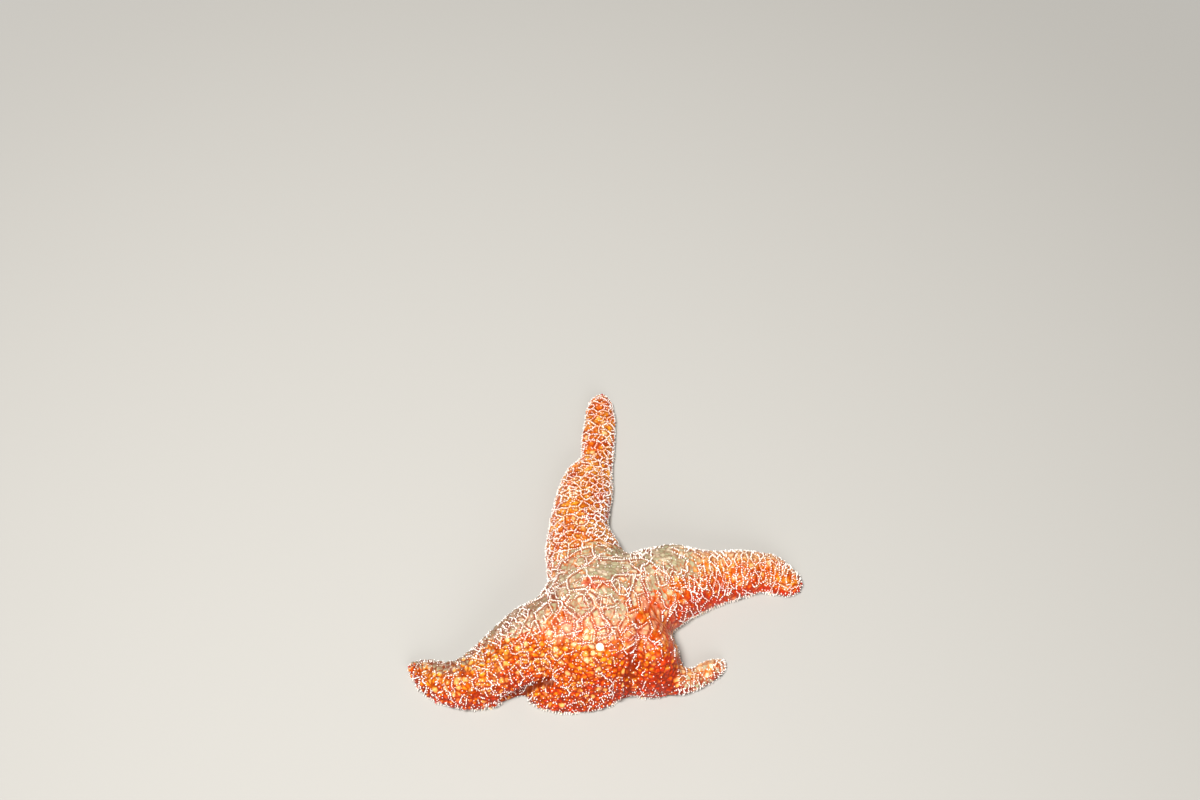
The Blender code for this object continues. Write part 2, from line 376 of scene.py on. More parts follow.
def vertex_normals(points, faces):
    """At each point, the sum of the cross products of the triangles round it, made 1 long."""
    first, second, third = (points[faces[:, i]] for i in range(3))
    across = np.cross(second - first, third - first)
    sums_by_axis = [np.bincount(faces.ravel(), np.repeat(across[:, i], 3), len(points)) for i in range(3)]
    total = np.stack(sums_by_axis, axis=1)
    return total / np.maximum(np.linalg.norm(total, axis=1, keepdims=True), 1e-9)


# %% Wrap the solids in one skin
GAP_PUSH = 0.4
WELD_REACH = 0.01
VOXEL = 1.56
SMOOTH_STEPS = 6


def wrap(helper):
    """Weld, push out, wrap in squares, smooth, and cut each square in four."""
    weld = helper.modifiers.new("weld", "WELD")
    weld.merge_threshold = WELD_REACH * MM
    push = helper.modifiers.new("push", "DISPLACE")
    push.mid_level = 0
    push.strength = GAP_PUSH * MM
    squares = helper.modifiers.new("squares", "REMESH")
    squares.mode = "VOXEL"
    squares.voxel_size = VOXEL * MM
    smooth = helper.modifiers.new("smooth", "SMOOTH")
    smooth.factor = 0.5
    smooth.iterations = SMOOTH_STEPS
    finer = helper.modifiers.new("finer", "SUBSURF")
    finer.levels = finer.render_levels = 1


wrapping = through_modifiers("wrap", mesh_from("wrap", *joined_solids(FLESH)), wrap)
print("wrapping has", len(wrapping.polygons), "squares")

# %% Thin it below and draw it in
MOST_TRIANGLES = 190000
LOW_ENOUGH = 12
FACING_DOWN = -0.25
COAT_DEPTH = 0.9


def thin_below(helper):
    """Larger triangles on the flat underside, which keeps the small ones for the side that shows."""
    points, faces = triangles_in(helper.data)
    chosen = (points[:, 2] < LOW_ENOUGH) & (vertex_normals(points, faces)[:, 2] < FACING_DOWN)
    below = helper.vertex_groups.new(name="below")
    below.add(np.flatnonzero(chosen).tolist(), 1, "REPLACE")
    fewer = helper.modifiers.new("fewer", "DECIMATE")
    fewer.vertex_group = below.name
    fewer.ratio = min(1, MOST_TRIANGLES / len(faces))


wrapping = through_modifiers("thin", wrapping, thin_below)
skin_points, skin_faces = triangles_in(wrapping)
skin_normals = vertex_normals(skin_points, skin_faces)
skin_points = skin_points - skin_normals * (COAT_DEPTH + GAP_PUSH)
print("skin has", len(skin_faces), "triangles, lowest at", skin_points[:, 2].min().round(2), "mm")

# %% [markdown]
# ## A flat map of the skin
#
# A flat map says where each triangle of the skin lies on a square sheet. Blender's own
# unwrap of the plain shape is kept as one array, before the net makes the surface rough,
# and the knobs use it.


# %% Unwrap the skin
def unwrapped(points, faces):
    """Blender's own unwrap of a shape: (u, v) from 0 to 1 at each corner of each triangle."""
    helper = bpy.data.objects.new("unwrap", mesh_from("unwrap", points, faces))
    bpy.context.scene.collection.objects.link(helper)
    bpy.context.view_layer.objects.active = helper
    helper.select_set(True)
    bpy.ops.object.mode_set(mode="EDIT")
    bpy.ops.mesh.select_all(action="SELECT")
    bpy.ops.uv.smart_project(angle_limit=np.radians(66), island_margin=0.003)
    bpy.ops.object.mode_set(mode="OBJECT")
    flat = np.empty(faces.size * 2)
    helper.data.uv_layers.active.data.foreach_get("uv", flat)
    bpy.data.objects.remove(helper)
    return flat.reshape(-1, 3, 2)


skin_map = unwrapped(skin_points, skin_faces)
print("skin's map runs from", skin_map.min().round(3), "to", skin_map.max().round(3))

# %% [markdown]
# ## Which way the arms run
#
# The meshes of the net are short along an arm and long across it, like the rungs of a
# ladder, while on the disc they run every way. One small matrix at each point says so: it
# is the mean of (heading x heading) over all stretches of midline, and near stretches
# count most. On an arm the headings agree, and on the disc they cancel out.


# %% Grain of the skin
LADDER = {
    "right_arm": 0.8,
    "upper_arm": 0.15,
    "left_arm": 0.35,
    "lower_arm": 0.15,
    "lower_right_arm": 0.6,
}


def stretches():
    """(start, end, share of ladder) of every stretch of every midline, in plan."""
    for name, line in midlines.items():
        for start, end in zip(line[:-1], line[1:]):
            yield start, end, LADDER[name]


def stretch_distance(points, start, end):
    """Distance in plan to a stretch, whose nearest place is at the share ((p - start) . step) / step^2."""
    step = end - start
    share = np.clip((points[:, :2] - start) @ step / (step @ step), 0, 1)
    return np.linalg.norm(points[:, :2] - start - share[:, None] * step, axis=1)


def grain(points, reach=9.0):
    """Mean over the stretches of heading x heading, each weighted by 1 / (distance^2 + reach^2)^2."""
    total = np.zeros((len(points), 3, 3))
    weight_sum = np.zeros(len(points))
    for start, end, ladder in stretches():
        weight = 1 / (stretch_distance(points, start, end) ** 2 + reach**2) ** 2
        heading = np.append((end - start) / np.linalg.norm(end - start), 0)
        total += ladder * weight[:, None, None] * np.outer(heading, heading)
        weight_sum += weight
    return total / weight_sum[:, None, None]


# %% Two smooth functions
def smoothstep(low, high, value):
    """0 below low, 1 above high and 3t^2 - 2t^3 between; low may be the larger."""
    share = np.clip((value - low) / (high - low), 0, 1)
    return share * share * (3 - 2 * share)


def ripple(points, wavelength, seed, waves=7):
    """Smooth noise from -1 to 1: the mean of sine waves that run in as many random directions."""
    rng = np.random.default_rng(seed)
    turns = rng.normal(size=(waves, 3))
    pace = rng.uniform(0.6, 1.5, (waves, 1)) * 2 * np.pi / wavelength
    turns *= pace / np.linalg.norm(turns, axis=1, keepdims=True)
    return np.sin(points @ turns.T + rng.uniform(0, 2 * np.pi, waves)).mean(axis=1) * 1.6


# %% [markdown]
# ## The net, worked out as cells
#
# The lime skeleton under the skin is an open mesh. Its bars are where two cells meet, so
# the net is a Voronoi pattern: every point belongs to its nearest seed, and a bar runs
# where the two nearest seeds are equally far. Distance is measured with the grain, which
# makes the cells long across the arms. Seeds are scattered on the skin and then moved to
# the middle of their own cells, which evens the net out and keeps it irregular. There are
# three nets: a fine one all over, a coarse one on the disc, and one of short threads.

# %% Find the two nearest seeds
ACROSS = 2.6
CHUNK = 4000
PAIRS = ((0, 0), (1, 1), (2, 2), (0, 1), (0, 2), (1, 2))


def metric_at(points, across=ACROSS):
    """1 + (across^2 - 1) x grain: distance along an arm counts more than distance across it."""
    return np.eye(3) + (across**2 - 1) * grain(points)


def terms(points):
    """The products xx, yy, zz, 2xy, 2xz, 2yz, then x, y, z and 1, that a squared distance is made of."""
    x, y, z = points.T
    squares = [x * x, y * y, z * z]
    products = [2 * x * y, 2 * x * z, 2 * y * z]
    return np.stack(squares + products + [x, y, z, np.ones_like(x)], axis=1)


def nearest_two(points, seeds, metric):
    """For each point its nearest and second nearest seed under (p - c)' A (p - c), with both squared
    distances. Written out, that is a sum of the terms of p times numbers that only c and A decide."""
    pulled = np.einsum("sij,sj->si", metric, seeds)
    table = np.stack(
        [metric[:, i, j] for i, j in PAIRS]
        + [-2 * pulled[:, i] for i in range(3)]
        + [np.einsum("si,si->s", seeds, pulled)]
    ).astype(np.float32)
    first = np.empty(len(points), int)
    second = np.empty(len(points), int)
    near = np.empty((len(points), 2))
    for start in range(0, len(points), CHUNK):
        rows = slice(start, start + CHUNK)
        squares = terms(points[rows]).astype(np.float32) @ table
        row = np.arange(len(squares))
        first[rows] = squares.argmin(axis=1)
        near[rows, 0] = squares[row, first[rows]]
        squares[row, first[rows]] = np.inf
        second[rows] = squares.argmin(axis=1)
        near[rows, 1] = squares[row, second[rows]]
    return first, second, near


# %% Nets of cells
def chance_number(value, factor):
    """A number from 0 to 1 that looks random: the fractional part of |sin(value)| x factor."""
    return np.modf(np.abs(np.sin(value) * factor))[0]


class Net:
    """Seeds on the skin with their metrics. It measures how far a point is from the nearest bar."""

    def __init__(self, points, chance, count, seed, across=ACROSS, settle=2):
        """Picks the seeds by chance and moves each, settle times, to the mean of the points it owns."""
        rng = np.random.default_rng(seed)
        share = chance / chance.sum()
        self.seeds = points[rng.choice(len(points), count, replace=False, p=share)]
        sample_size = min(len(points), 40 * count)
        sample = points[rng.choice(len(points), sample_size, replace=False, p=share)]
        self.metric = metric_at(self.seeds, across)
        for _ in range(settle):
            owner = nearest_two(sample, self.seeds, self.metric)[0]
            held = np.maximum(np.bincount(owner, minlength=count), 1)[:, None]
            total = np.stack([np.bincount(owner, sample[:, i], count) for i in range(3)], axis=1)
            self.seeds = np.where(held > 1, total / held, self.seeds)
            self.metric = metric_at(self.seeds, across)

    def measure(self, points):
        """(distance to the bar in mm, direction to it, chance numbers of the bar and of the cell). The
        distance is the difference of the two squared distances, divided by the slope of that difference."""
        first, second, near = nearest_two(points, self.seeds, self.metric)
        pull = np.einsum("pij,pj->pi", self.metric[second], points - self.seeds[second])
        pull -= np.einsum("pij,pj->pi", self.metric[first], points - self.seeds[first])
        slope = 2 * np.linalg.norm(pull, axis=1)
        gap = (near[:, 1] - near[:, 0]) / slope
        low, high = np.minimum(first, second), np.maximum(first, second)
        bar = chance_number(low * 12.9898 + high * 78.233, 43758.5453)
        cell = chance_number(first * 39.3468, 24634.6345)
        return gap, -2 * pull / slope[:, None], bar, cell


# %% Scatter the seeds of three nets
DISC_RADIUS = 40


def plan_distance(points, place):
    """Distance to a place, seen from above."""
    return np.linalg.norm(points[:, :2] - place[:2], axis=1)


def disc_share(points):
    """1 on the disc, falling to 0 on the arms, by distance from the middle of the disc."""
    return smoothstep(DISC_RADIUS + 14, DISC_RADIUS - 8, plan_distance(points, DISC_MIDDLE))


FINE_CELLS, COARSE_CELLS, THREAD_CELLS = 820, 90, 1500
OFF_THE_BASE = 2.0
upper = skin_points[:, 2] > OFF_THE_BASE
level = 0.45 + 0.55 * smoothstep(0.15, 0.7, skin_normals[:, 2])
on_disc = disc_share(skin_points)
fine_net = Net(skin_points, upper * level * (0.9 - 0.45 * on_disc), FINE_CELLS, seed=11)
coarse_net = Net(skin_points, upper * (0.35 + on_disc), COARSE_CELLS, seed=5, across=1.3, settle=1)
thread_net = Net(skin_points, upper * 1.0, THREAD_CELLS, seed=23, across=1.4)
for kind, net in (("fine", fine_net), ("coarse", coarse_net), ("thread", thread_net)):
    print("the", kind, "net has", len(net.seeds), "cells")


# %% Small grains between the bars
NEIGHBOURS = np.stack(np.meshgrid(*[[-1, 0, 1]] * 3), axis=-1).reshape(-1, 3)


def grains(points, size, seed):
    """(distance in mm to the seam between two grains, chance number of the grain). One seed is jittered
    in each cube of a grid, and the seam lies where the nearest two seeds are equally far."""
    cube = np.floor(points / size)
    near = np.full((len(points), 2), 9.0)
    chance = np.zeros(len(points))
    for step in NEIGHBOURS:
        home = cube + step
        label = home @ np.array([12.9898, 78.233, 37.719]) + seed
        jitter = chance_number(label[:, None] * np.array([1.0, 1.31, 1.73]), 43758.5453)
        away = np.linalg.norm((home + 0.1 + 0.8 * jitter) * size - points, axis=1) / size
        chance = np.where(away < near[:, 0], jitter[:, 0], chance)
        near = np.sort(np.concatenate([near, away[:, None]], axis=1), axis=1)[:, :2]
    return (near[:, 1] - near[:, 0]) * size / 2, chance


# %% [markdown]
# ## Regions of the skin
#
# Knobs, bars and colours change from place to place. Sand has settled on the far half of
# the disc and along the far edges of the arms, where the skin lies flat. The lobes in
# front are clean and bright, and their bars are broken into short chains. Each region is
# a share from 0 to 1, measured from paths that are laid out by shares of a solid's box.


# %% Lay out the paths of the regions
def in_box(node, across, along):
    """A plan position inside a solid's box, by its shares of the box's two sides."""
    low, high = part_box(node)
    return np.array([low[0] + across * (high[0] - low[0]), low[1] + along * (high[1] - low[1])]) / MM


def path_in(node, *shares):
    """Stops of a path in plan, each given by its shares of the solid's box."""
    return [in_box(node, *share) for share in shares]


def path_distance(points, stops):
    """Distance in plan to a path through the stops."""
    pairs = zip(stops[:-1], stops[1:])
    return np.minimum.reduce([stretch_distance(points, start, end) for start, end in pairs])


FOLD_STOPS = ((0.33, 0.45), (0.29, 0.46), (0.23, 0.46), (0.12, 0.38), (-0.02, 0.26), (-0.08, 0.2))
FOLD = path_in("lower_arm", *FOLD_STOPS)
HOLLOW = path_in("lower_arm", (0.25, 0.32), (0.36, 0.3))
GULLY = path_in("lower_right_arm_root", (0.05, -0.02), (0.14, 0.32), (0.19, 0.6), (0.22, 0.86))
SWELLING = path_in("lower_right_arm_root", (0.4, 0.98), (0.5, 0.78), (0.56, 0.5), (0.52, 0.25))
DUSTY_END = path_in("lower_right_arm_tip", (0.4, 0.35), (0.7, 0.45), (1.0, 0.9))
BARE_SPOT = np.array([-7.0, 14.0])
print("the fold starts at", FOLD[0].round(1), "and the swelling at", SWELLING[0].round(1))


# %% Shares by place
def dusty_share(points):
    """1 on the curled end of the lower right arm, which lies in the sand."""
    return smoothstep(13, 7, path_distance(points, DUSTY_END))


def lobe_share(points):
    """1 on the lobes in front of the sieve plate, 0 on the rest."""
    side = points[:, 1] + 0.12 * points[:, 0] + 3 * ripple(points, 22, 3)
    return smoothstep(PLATE[1] + 9, PLATE[1] - 5, side) * (1 - dusty_share(points))


def swelling_share(points):
    """1 on the bright red swelling at the root of the lower right arm."""
    return smoothstep(15, 8, path_distance(points, SWELLING) + 2.5 * ripple(points, 16, 4))


def smooth_share(points):
    """1 in the hollow beside the fold, where the skin is stretched smooth."""
    return smoothstep(6, 1, path_distance(points, HOLLOW) + 2 * ripple(points, 12, 6))


def bare_share(points):
    """1 on a small bare spot behind the middle of the disc, where the sand has been washed off."""
    across = (points[:, :2] - DISC_MIDDLE[:2] - BARE_SPOT) * [0.7, 1.3]
    return smoothstep(8, 4, np.linalg.norm(across, axis=1))


def upper_arm_share(points):
    """1 on the upper arm, whose bars are thin and whose skin is bright, 0 on the rest."""
    out = points - DISC_MIDDLE
    return smoothstep(25, 50, out[:, 1]) * smoothstep(40, 25, out[:, 0])


# %% Shares by the way the skin faces
def flank_share(normals):
    """1 on steep flanks that face the front, 0 on the top and at the back."""
    return smoothstep(0.1, 0.6, -normals[:, 1]) * smoothstep(0.8, 0.35, normals[:, 2])


def back_share(normals):
    """1 on steep flanks that face the back, 0 on the top and in front."""
    return smoothstep(0.05, 0.5, normals[:, 1])


def turned_under(points, normals):
    """1 on the outer flank of the swelling, which is nearly bare."""
    round_it = smoothstep(24, 16, path_distance(points, SWELLING)) * (1 - dusty_share(points))
    return round_it * smoothstep(0.05, 0.45, normals[:, 0]) * smoothstep(0.85, 0.5, normals[:, 2])


# %% Where the sand lies
def sand_share(points, normals):
    """How much sand lies at a point. It needs a flat place on the far half of the disc, or a far edge."""
    side = points[:, 1] - DISC_MIDDLE[1] - 0.10 * (points[:, 0] - DISC_MIDDLE[0])
    band = smoothstep(-20, -4, side + 6 * ripple(points, 26, 8)) * smoothstep(50, 30, side)
    near_disc = smoothstep(100, 50, plan_distance(points, DISC_MIDDLE))
    lying = smoothstep(0.1, 0.6, normals[:, 2]) * smoothstep(-0.5, -0.15, normals[:, 1])
    lying = lying * (1 - swelling_share(points))
    on_top = band * near_disc * lying * smoothstep(-0.7, 0.0, ripple(points, 17, 21) + 0.2)
    far_edge = smoothstep(-0.02, 0.45, normals[:, 1]) * smoothstep(52, 44, side)
    far_edge *= smoothstep(-36, -24, side + 0.28 * np.maximum(DISC_MIDDLE[0] - points[:, 0], 0))
    far_edge *= smoothstep(75, 35, points[:, 0] - DISC_MIDDLE[0]) * (1 - swelling_share(points))
    settled = np.maximum(np.maximum(0.8 * on_top, 0.95 * far_edge), 0.5 * dusty_share(points))
    return settled * (1 - bare_share(points))


def patch_share(points, normals):
    """1 in the few patches where sand lies thick enough to bury the net."""
    return sand_share(points, normals) * smoothstep(-0.05, 0.3, ripple(points, 21, 29))


# %% Which bars are missing
def bar_strength(points, normals, bar):
    """1 where a bar of the fine net is whole and 0 where it is missing. Many are missing on the lobes."""
    missing = 0.06 + lobe_share(points) * (0.58 - 0.22 * smoothstep(-25, -45, points[:, 0]))
    missing = missing + 0.1 * disc_share(points) + 0.3 * smooth_share(points)
    missing += 0.65 * patch_share(points, normals) + 0.22 * swelling_share(points)
    missing += 0.35 * flank_share(normals) * (1 - lobe_share(points)) + 0.3 * back_share(normals)
    missing += 0.6 * turned_under(points, normals)
    return smoothstep(missing - 0.05, missing + 0.05, bar)


def thread_strength(points, normals, bar):
    """1 on the few bars of the thread net that are there: short chains that branch off the fine net."""
    missing = 0.68 + 0.26 * lobe_share(points) - 0.04 * disc_share(points) + 0.24 * swelling_share(points)
    missing += 0.3 * smooth_share(points) + 0.3 * patch_share(points, normals) + 0.25 * flank_share(normals)
    missing += 0.4 * back_share(normals) + 0.4 * turned_under(points, normals)
    return smoothstep(missing - 0.05, missing + 0.05, bar)


# %% [markdown]
# ## The net raised on the skin
#
# The bars lift the skin from below, and between them it swells into soft puffs and small
# grains. A bump in the material would leave the outline smooth, so the skin's own points
# are moved. A fold and a gully between the lobes are pressed in the same way.

# %% Measure the nets on the skin
FINE_BEND = (0.55, 6, (31, 32, 33))
COARSE_BEND = (1.3, 14, (41, 42, 43))
THREAD_BEND = (0.7, 5, (44, 45, 46))


def bend(points, size, wavelength, seeds):
    """A small shift of each point, so that no bar is quite straight: size x one ripple for each axis."""
    return np.stack([ripple(points, wavelength, s) for s in seeds], axis=1) * size


def swell(distance, reach):
    """The bell exp(-(distance / reach)^2): 1 at the middle of a bar or a fold, 0 far from it."""
    return np.exp(-((distance / reach) ** 2))


fine_gap, _, fine_bar, fine_cell = fine_net.measure(skin_points + bend(skin_points, *FINE_BEND))
coarse_gap, _, coarse_bar, _ = coarse_net.measure(skin_points + bend(skin_points, *COARSE_BEND))
thread_gap, _, thread_bar, _ = thread_net.measure(skin_points + bend(skin_points, *THREAD_BEND))
for kind, gap in (("fine", fine_gap), ("coarse", coarse_gap), ("thread", thread_gap)):
    print("a point is", gap.mean().round(2), "mm from a bar of the", kind, "net")

# %% Raise the net on the skin
DEEPEST, HIGHEST = -4.4, 2.0
OFF_THE_FLOOR = 0.15
GRAIN_SIZE = 3.8
FOLD_DEPTH, FOLD_REACH = 4.2, 1.7
GULLY_DEPTH, GULLY_REACH = 1.8, 3.0

above = smoothstep(1.2, 4.0, skin_points[:, 2]) * smoothstep(-0.75, -0.2, skin_normals[:, 2])
on_lobes = lobe_share(skin_points)
on_swelling = swelling_share(skin_points)
stretched_smooth = smooth_share(skin_points)
around_plate = smoothstep(7.0, 4.2, plan_distance(skin_points, PLATE))
coarse_here = smoothstep(0.2, 0.5, on_disc) * (1 - on_lobes)
coarse_here = coarse_here * (1 - on_swelling) * smoothstep(0.1, 0.2, coarse_bar)
coarse_line = swell(coarse_gap, 0.6) * coarse_here
fine_line = swell(fine_gap, 0.5) * bar_strength(skin_points, skin_normals, fine_bar)
thread_line = swell(thread_gap, 0.5) * thread_strength(skin_points, skin_normals, thread_bar)
puff = smoothstep(0.2, 2.2, fine_gap)
grain_gap, grain_chance = grains(skin_points, GRAIN_SIZE, 0.5)
grain_height = smoothstep(0, 0.95, grain_gap) * (1 - 0.2 * stretched_smooth)

lift = 0.45 * swell(coarse_gap, 1.6) * coarse_here
lift += 0.25 * thread_line + 0.4 * fine_line + 0.5 * puff * (1 - 0.4 * on_disc)
lift += (0.35 + 0.55 * on_lobes) * grain_height * (0.4 + 0.6 * puff)
lift = lift * (1 - around_plate) + 0.6 * ripple(skin_points, 24, 51)
lift -= FOLD_DEPTH * swell(path_distance(skin_points, FOLD), FOLD_REACH)
lift -= GULLY_DEPTH * swell(path_distance(skin_points, GULLY), GULLY_REACH)
lift -= 0.9 * stretched_smooth
shift = np.clip(lift, DEEPEST, HIGHEST) * above
skin_points = skin_points + skin_normals * shift[:, None]
skin_points[:, 2] = np.maximum(skin_points[:, 2], OFF_THE_FLOOR)
skin_normals = vertex_normals(skin_points, skin_faces)
print("the net moves the skin by", shift.min().round(2), "to", shift.max().round(2), "mm")


# %% Find the hollows
def blurred(values, steps):
    """A value per point, averaged over its triangles and back to the points, steps times over."""
    count = np.maximum(np.bincount(skin_faces.ravel(), minlength=len(values)), 1)
    for _ in range(steps):
        by_face = np.repeat(values[skin_faces].mean(axis=1), 3)
        values = np.bincount(skin_faces.ravel(), by_face, len(values)) / count
    return values


BLUR_STEPS = 60
middle = np.stack([blurred(skin_points[:, i], BLUR_STEPS) for i in range(3)], axis=1)
hollow = ((middle - skin_points) * skin_normals).sum(axis=1)
print("the deepest hollow is", hollow.max().round(2), "mm deep")

# %% [markdown]
# ## Numbers that the skin's finish reads
#
# The skin is deep orange and wet, and its colour changes from one soft grain to the next.
# Eight numbers are kept at every corner of its mesh, and the material mixes its colours by
# them. They could be masks of noise in the material, but then they wouldn't follow the
# bars and folds, which are known only here. They are: the pale flesh over a bar; the
# dusting of sand; how far a place turns to red, partly its own red and partly painted shade
# on steep flanks that face the front; the yellow of the soft puffs, partly their own yellow
# and partly painted highlight on grain tops and painted light on flanks that face the back;
# painted shade beside the bars, between the grains, in the hollows, the gully and the fold;
# how strongly the gill tips show their painted highlight and painted shade; and two numbers
# that tell one soft grain of the skin from the next, a chance number and a pale cream that
# is partly the skin's own and partly painted highlight and painted light.


# %% Painted shade in the crevices
def highest(*values):
    """At each point the highest of several numbers."""
    return np.maximum.reduce(values)


# Painted shade: the skin is darkened beside the bars, between the grains, in the hollows, in the gully and
# most of all in the fold, where shade would fall.
beside_fine = swell(fine_gap - 1.0, 0.55)
beside_fine *= bar_strength(skin_points, skin_normals, fine_bar)
beside_thread = swell(thread_gap - 0.85, 0.4)
beside_thread *= thread_strength(skin_points, skin_normals, thread_bar)
beside_coarse = swell(coarse_gap - 1.15, 0.6) * coarse_here
between_grains = swell(grain_gap, 0.4) * (0.5 + 0.35 * on_lobes)
painted_crevice_shade = highest(beside_fine, beside_coarse, 0.8 * beside_thread, between_grains)
# The fold's bell is added on top of the painted shade, so that the number runs above 1 in the fold.
in_fold = swell(path_distance(skin_points, FOLD), 1.6)
in_gully = swell(path_distance(skin_points, GULLY), 2.5)
painted_crevice_shade = np.clip(painted_crevice_shade + smoothstep(0.4, 1.8, hollow) + 0.4 * in_gully, 0, 1) + in_fold
print("crevice runs to", painted_crevice_shade.max().round(2), "with a mean of", painted_crevice_shade.mean().round(2))

# %% Red and yellow, partly painted shade and painted light
# Painted shade: steep flanks, most of all those that face the front, turn redder and darker, as a shaded side
# would. The rest of this red is the skin's own: by chance, on the swelling, on the bare spot and in the
# smooth hollow.
steep = smoothstep(0.92, 0.35, skin_normals[:, 2])
facing_front = smoothstep(-0.1, 0.7, -skin_normals[:, 1])
on_right = smoothstep(20, 50, skin_points[:, 0] - DISC_MIDDLE[0])
# Painted light: flanks that face the back are made yellower and paler, as if lit.
back_flank_painted_light = smoothstep(-0.1, 0.5, skin_normals[:, 1]) * (0.35 + 0.45 * on_right)
back_flank_painted_light *= smoothstep(16, 26, path_distance(skin_points, SWELLING))
on_upper_arm = upper_arm_share(skin_points)

deep = 0.25 * steep + 1.1 * steep * facing_front
deep += 0.35 * ripple(skin_points, 19, 61)
deep += 0.6 * (0.5 - grain_chance)
deep += 0.2 * stretched_smooth
deep += 0.8 * bare_share(skin_points)
deep = np.clip(deep + 0.6 * on_swelling - 0.15, 0, 1)
# This yellow is partly the skin's own, by chance and on the upper arm, and partly painted highlight on the
# tops of the grains and puffs and painted light on flanks that face the back.
yellow_and_painted_light = 0.1 * puff + (0.3 + 0.4 * on_lobes) * grain_height
yellow_and_painted_light += 0.4 * ripple(skin_points, 28, 71)
yellow_and_painted_light += 1.1 * (grain_chance - 0.5)
yellow_and_painted_light += 0.8 * back_flank_painted_light
yellow_and_painted_light = np.clip(yellow_and_painted_light + on_upper_arm * (0.3 + 0.3 * ripple(skin_points, 15, 73)), 0, 1)
print("deep has a mean of", deep.mean().round(2), "and glow of", yellow_and_painted_light.mean().round(2))

# %% Pale grains and pale cells, partly painted highlight and painted light
# Pale cream on the tops of some grains is partly the skin's own pale and partly painted highlight. The milky
# cells on the disc are the skin's own pale, and pale on flanks that face the back is painted light.
pale_chance = grain_chance + 0.28 * on_disc * (1 - on_lobes) + 0.12 * ripple(skin_points, 25, 81)
pale = smoothstep(0.62, 0.9, pale_chance) * grain_height
pale *= (0.6 + 0.35 * on_disc - 0.25 * on_lobes) * (1 - 0.7 * on_swelling) * (1 - 0.8 * deep)
milky = on_disc * (1 - on_lobes) * puff * smoothstep(0.25, 0.45, fine_cell)
pale_back_painted_light = back_flank_painted_light * (1 - 0.6 * on_upper_arm) * (0.5 + 0.5 * grain_height)
pale = highest(pale, 0.62 * milky * (1 - 0.6 * deep), pale_back_painted_light)
# This number sets how strongly the gill tips show their painted highlight and painted shade.
gill_painted_light_and_shade = 0.22 + 0.08 * np.maximum(on_lobes, on_swelling)
print("pale has a mean of", pale.mean().round(2))

# %% Sand, lines and the rim
sand = sand_share(skin_points, skin_normals) * above
sand *= 1 - 0.5 * np.minimum(painted_crevice_shade, 1)
sand *= 0.7 + 0.5 * grain_height
washed = 0.25 * (grain_chance > 0.75) * (1 - patch_share(skin_points, skin_normals))
sand = np.clip(sand - washed, 0, 1)
below = smoothstep(-0.2, -0.7, skin_normals[:, 2])
# Painted shade: sand on flanks at the far left that face the back is darkened along with the crevices.
far_left = smoothstep(0.1, 0.5, skin_normals[:, 1])
far_left *= smoothstep(-15, -40, skin_points[:, 0] - DISC_MIDDLE[0])
painted_crevice_shade = (painted_crevice_shade + 0.4 * sand * far_left) * (1 - 0.6 * below) * (1 + 0.15 * on_upper_arm)
line = np.clip(highest(0.2 * coarse_line, 0.1 * fine_line, 0.05 * thread_line), 0, 1) * above
rim = 0.7 * np.maximum(on_lobes, on_swelling) * swell(skin_points[:, 2] - 1.0, 0.7)
rim *= skin_normals[:, 1] < 0.1
line = highest(line, rim * (1 - below), 0.7 * below)
print("sand has a mean of", sand.mean().round(2), "and line of", line.mean().round(2))

# %% [markdown]
# ## Finish of the skin
#
# The finish could be one picture wrapped round the star, but a picture blurs up close.
# Nodes mix the colours from the kept numbers instead, and add the two finest details by
# noise: the sand's flecks, and the tips of the skin gills, which are the tiny soft bumps
# between the knobs. The gill tips get a painted highlight, yellower at each crown, and
# painted shade, darker at each seam. The skin is wet, so a thin clear coat lies over the colours.

# %% Colours of the skin
ORANGE = (0.77, 0.12, 0.002)
YELLOW_ORANGE = (0.95, 0.37, 0.012)
RED_ORANGE = (0.66, 0.03, 0.0015)
# Painted shade: the dark red that darkens the crevices and the seams of the gill tips.
PAINTED_CREVICE_SHADE = (0.18, 0.012, 0.0005)
SAND = (0.42, 0.39, 0.22)
PALE_SAND = (0.8, 0.65, 0.46)
CREAM = (0.92, 0.63, 0.38)
# Painted shade: the near black brown that darkens the fold.
PAINTED_FOLD_SHADE = (0.14, 0.016, 0.003)
PALE_FLESH = (0.84, 0.55, 0.38)
SKIN_COLOURS = (ORANGE, YELLOW_ORANGE, RED_ORANGE, PAINTED_CREVICE_SHADE, SAND, PALE_SAND, CREAM, PAINTED_FOLD_SHADE, PALE_FLESH)
print(len(SKIN_COLOURS), "colours, with a mean of", np.mean(SKIN_COLOURS, axis=0).round(2))

# %% Mix the colours of the skin
GILLS = 640
skin_finish, tree, shader = new_material(
    "wet_orange_skin", Specular_IOR_Level=0.06, Coat_Weight=0.16, Coat_Roughness=0.05
)
pebble = cells(tree, GILLS)
# Painted shade and painted highlight of the gill tips: each seam is darkened and each crown is made yellower.
seam = sums(tree, "MULTIPLY", stretched(tree, pebble, 0.36, 0.68), read(tree, "gill_painted_light_and_shade"))
painted_crown_highlight = sums(tree, "MULTIPLY", stretched(tree, pebble, 0.52, 0.22), read(tree, "gill_painted_light_and_shade"))
# Yellow from the number above and from the gill tips' crowns: partly the skin's own yellow, partly painted
# highlight and painted light.
yellow = sums(tree, "ADD", read(tree, "yellow_and_painted_light"), sums(tree, "MULTIPLY", painted_crown_highlight, 0.4))
colour = mixed(tree, yellow, ORANGE, YELLOW_ORANGE)
# This red is partly the skin's own and partly painted shade on steep flanks that face the front.
reddish = sums(tree, "MULTIPLY", read(tree, "deep"), stretched(tree, noise(tree, 420), 0.15, 0.5))
colour = mixed(tree, reddish, colour, RED_ORANGE)
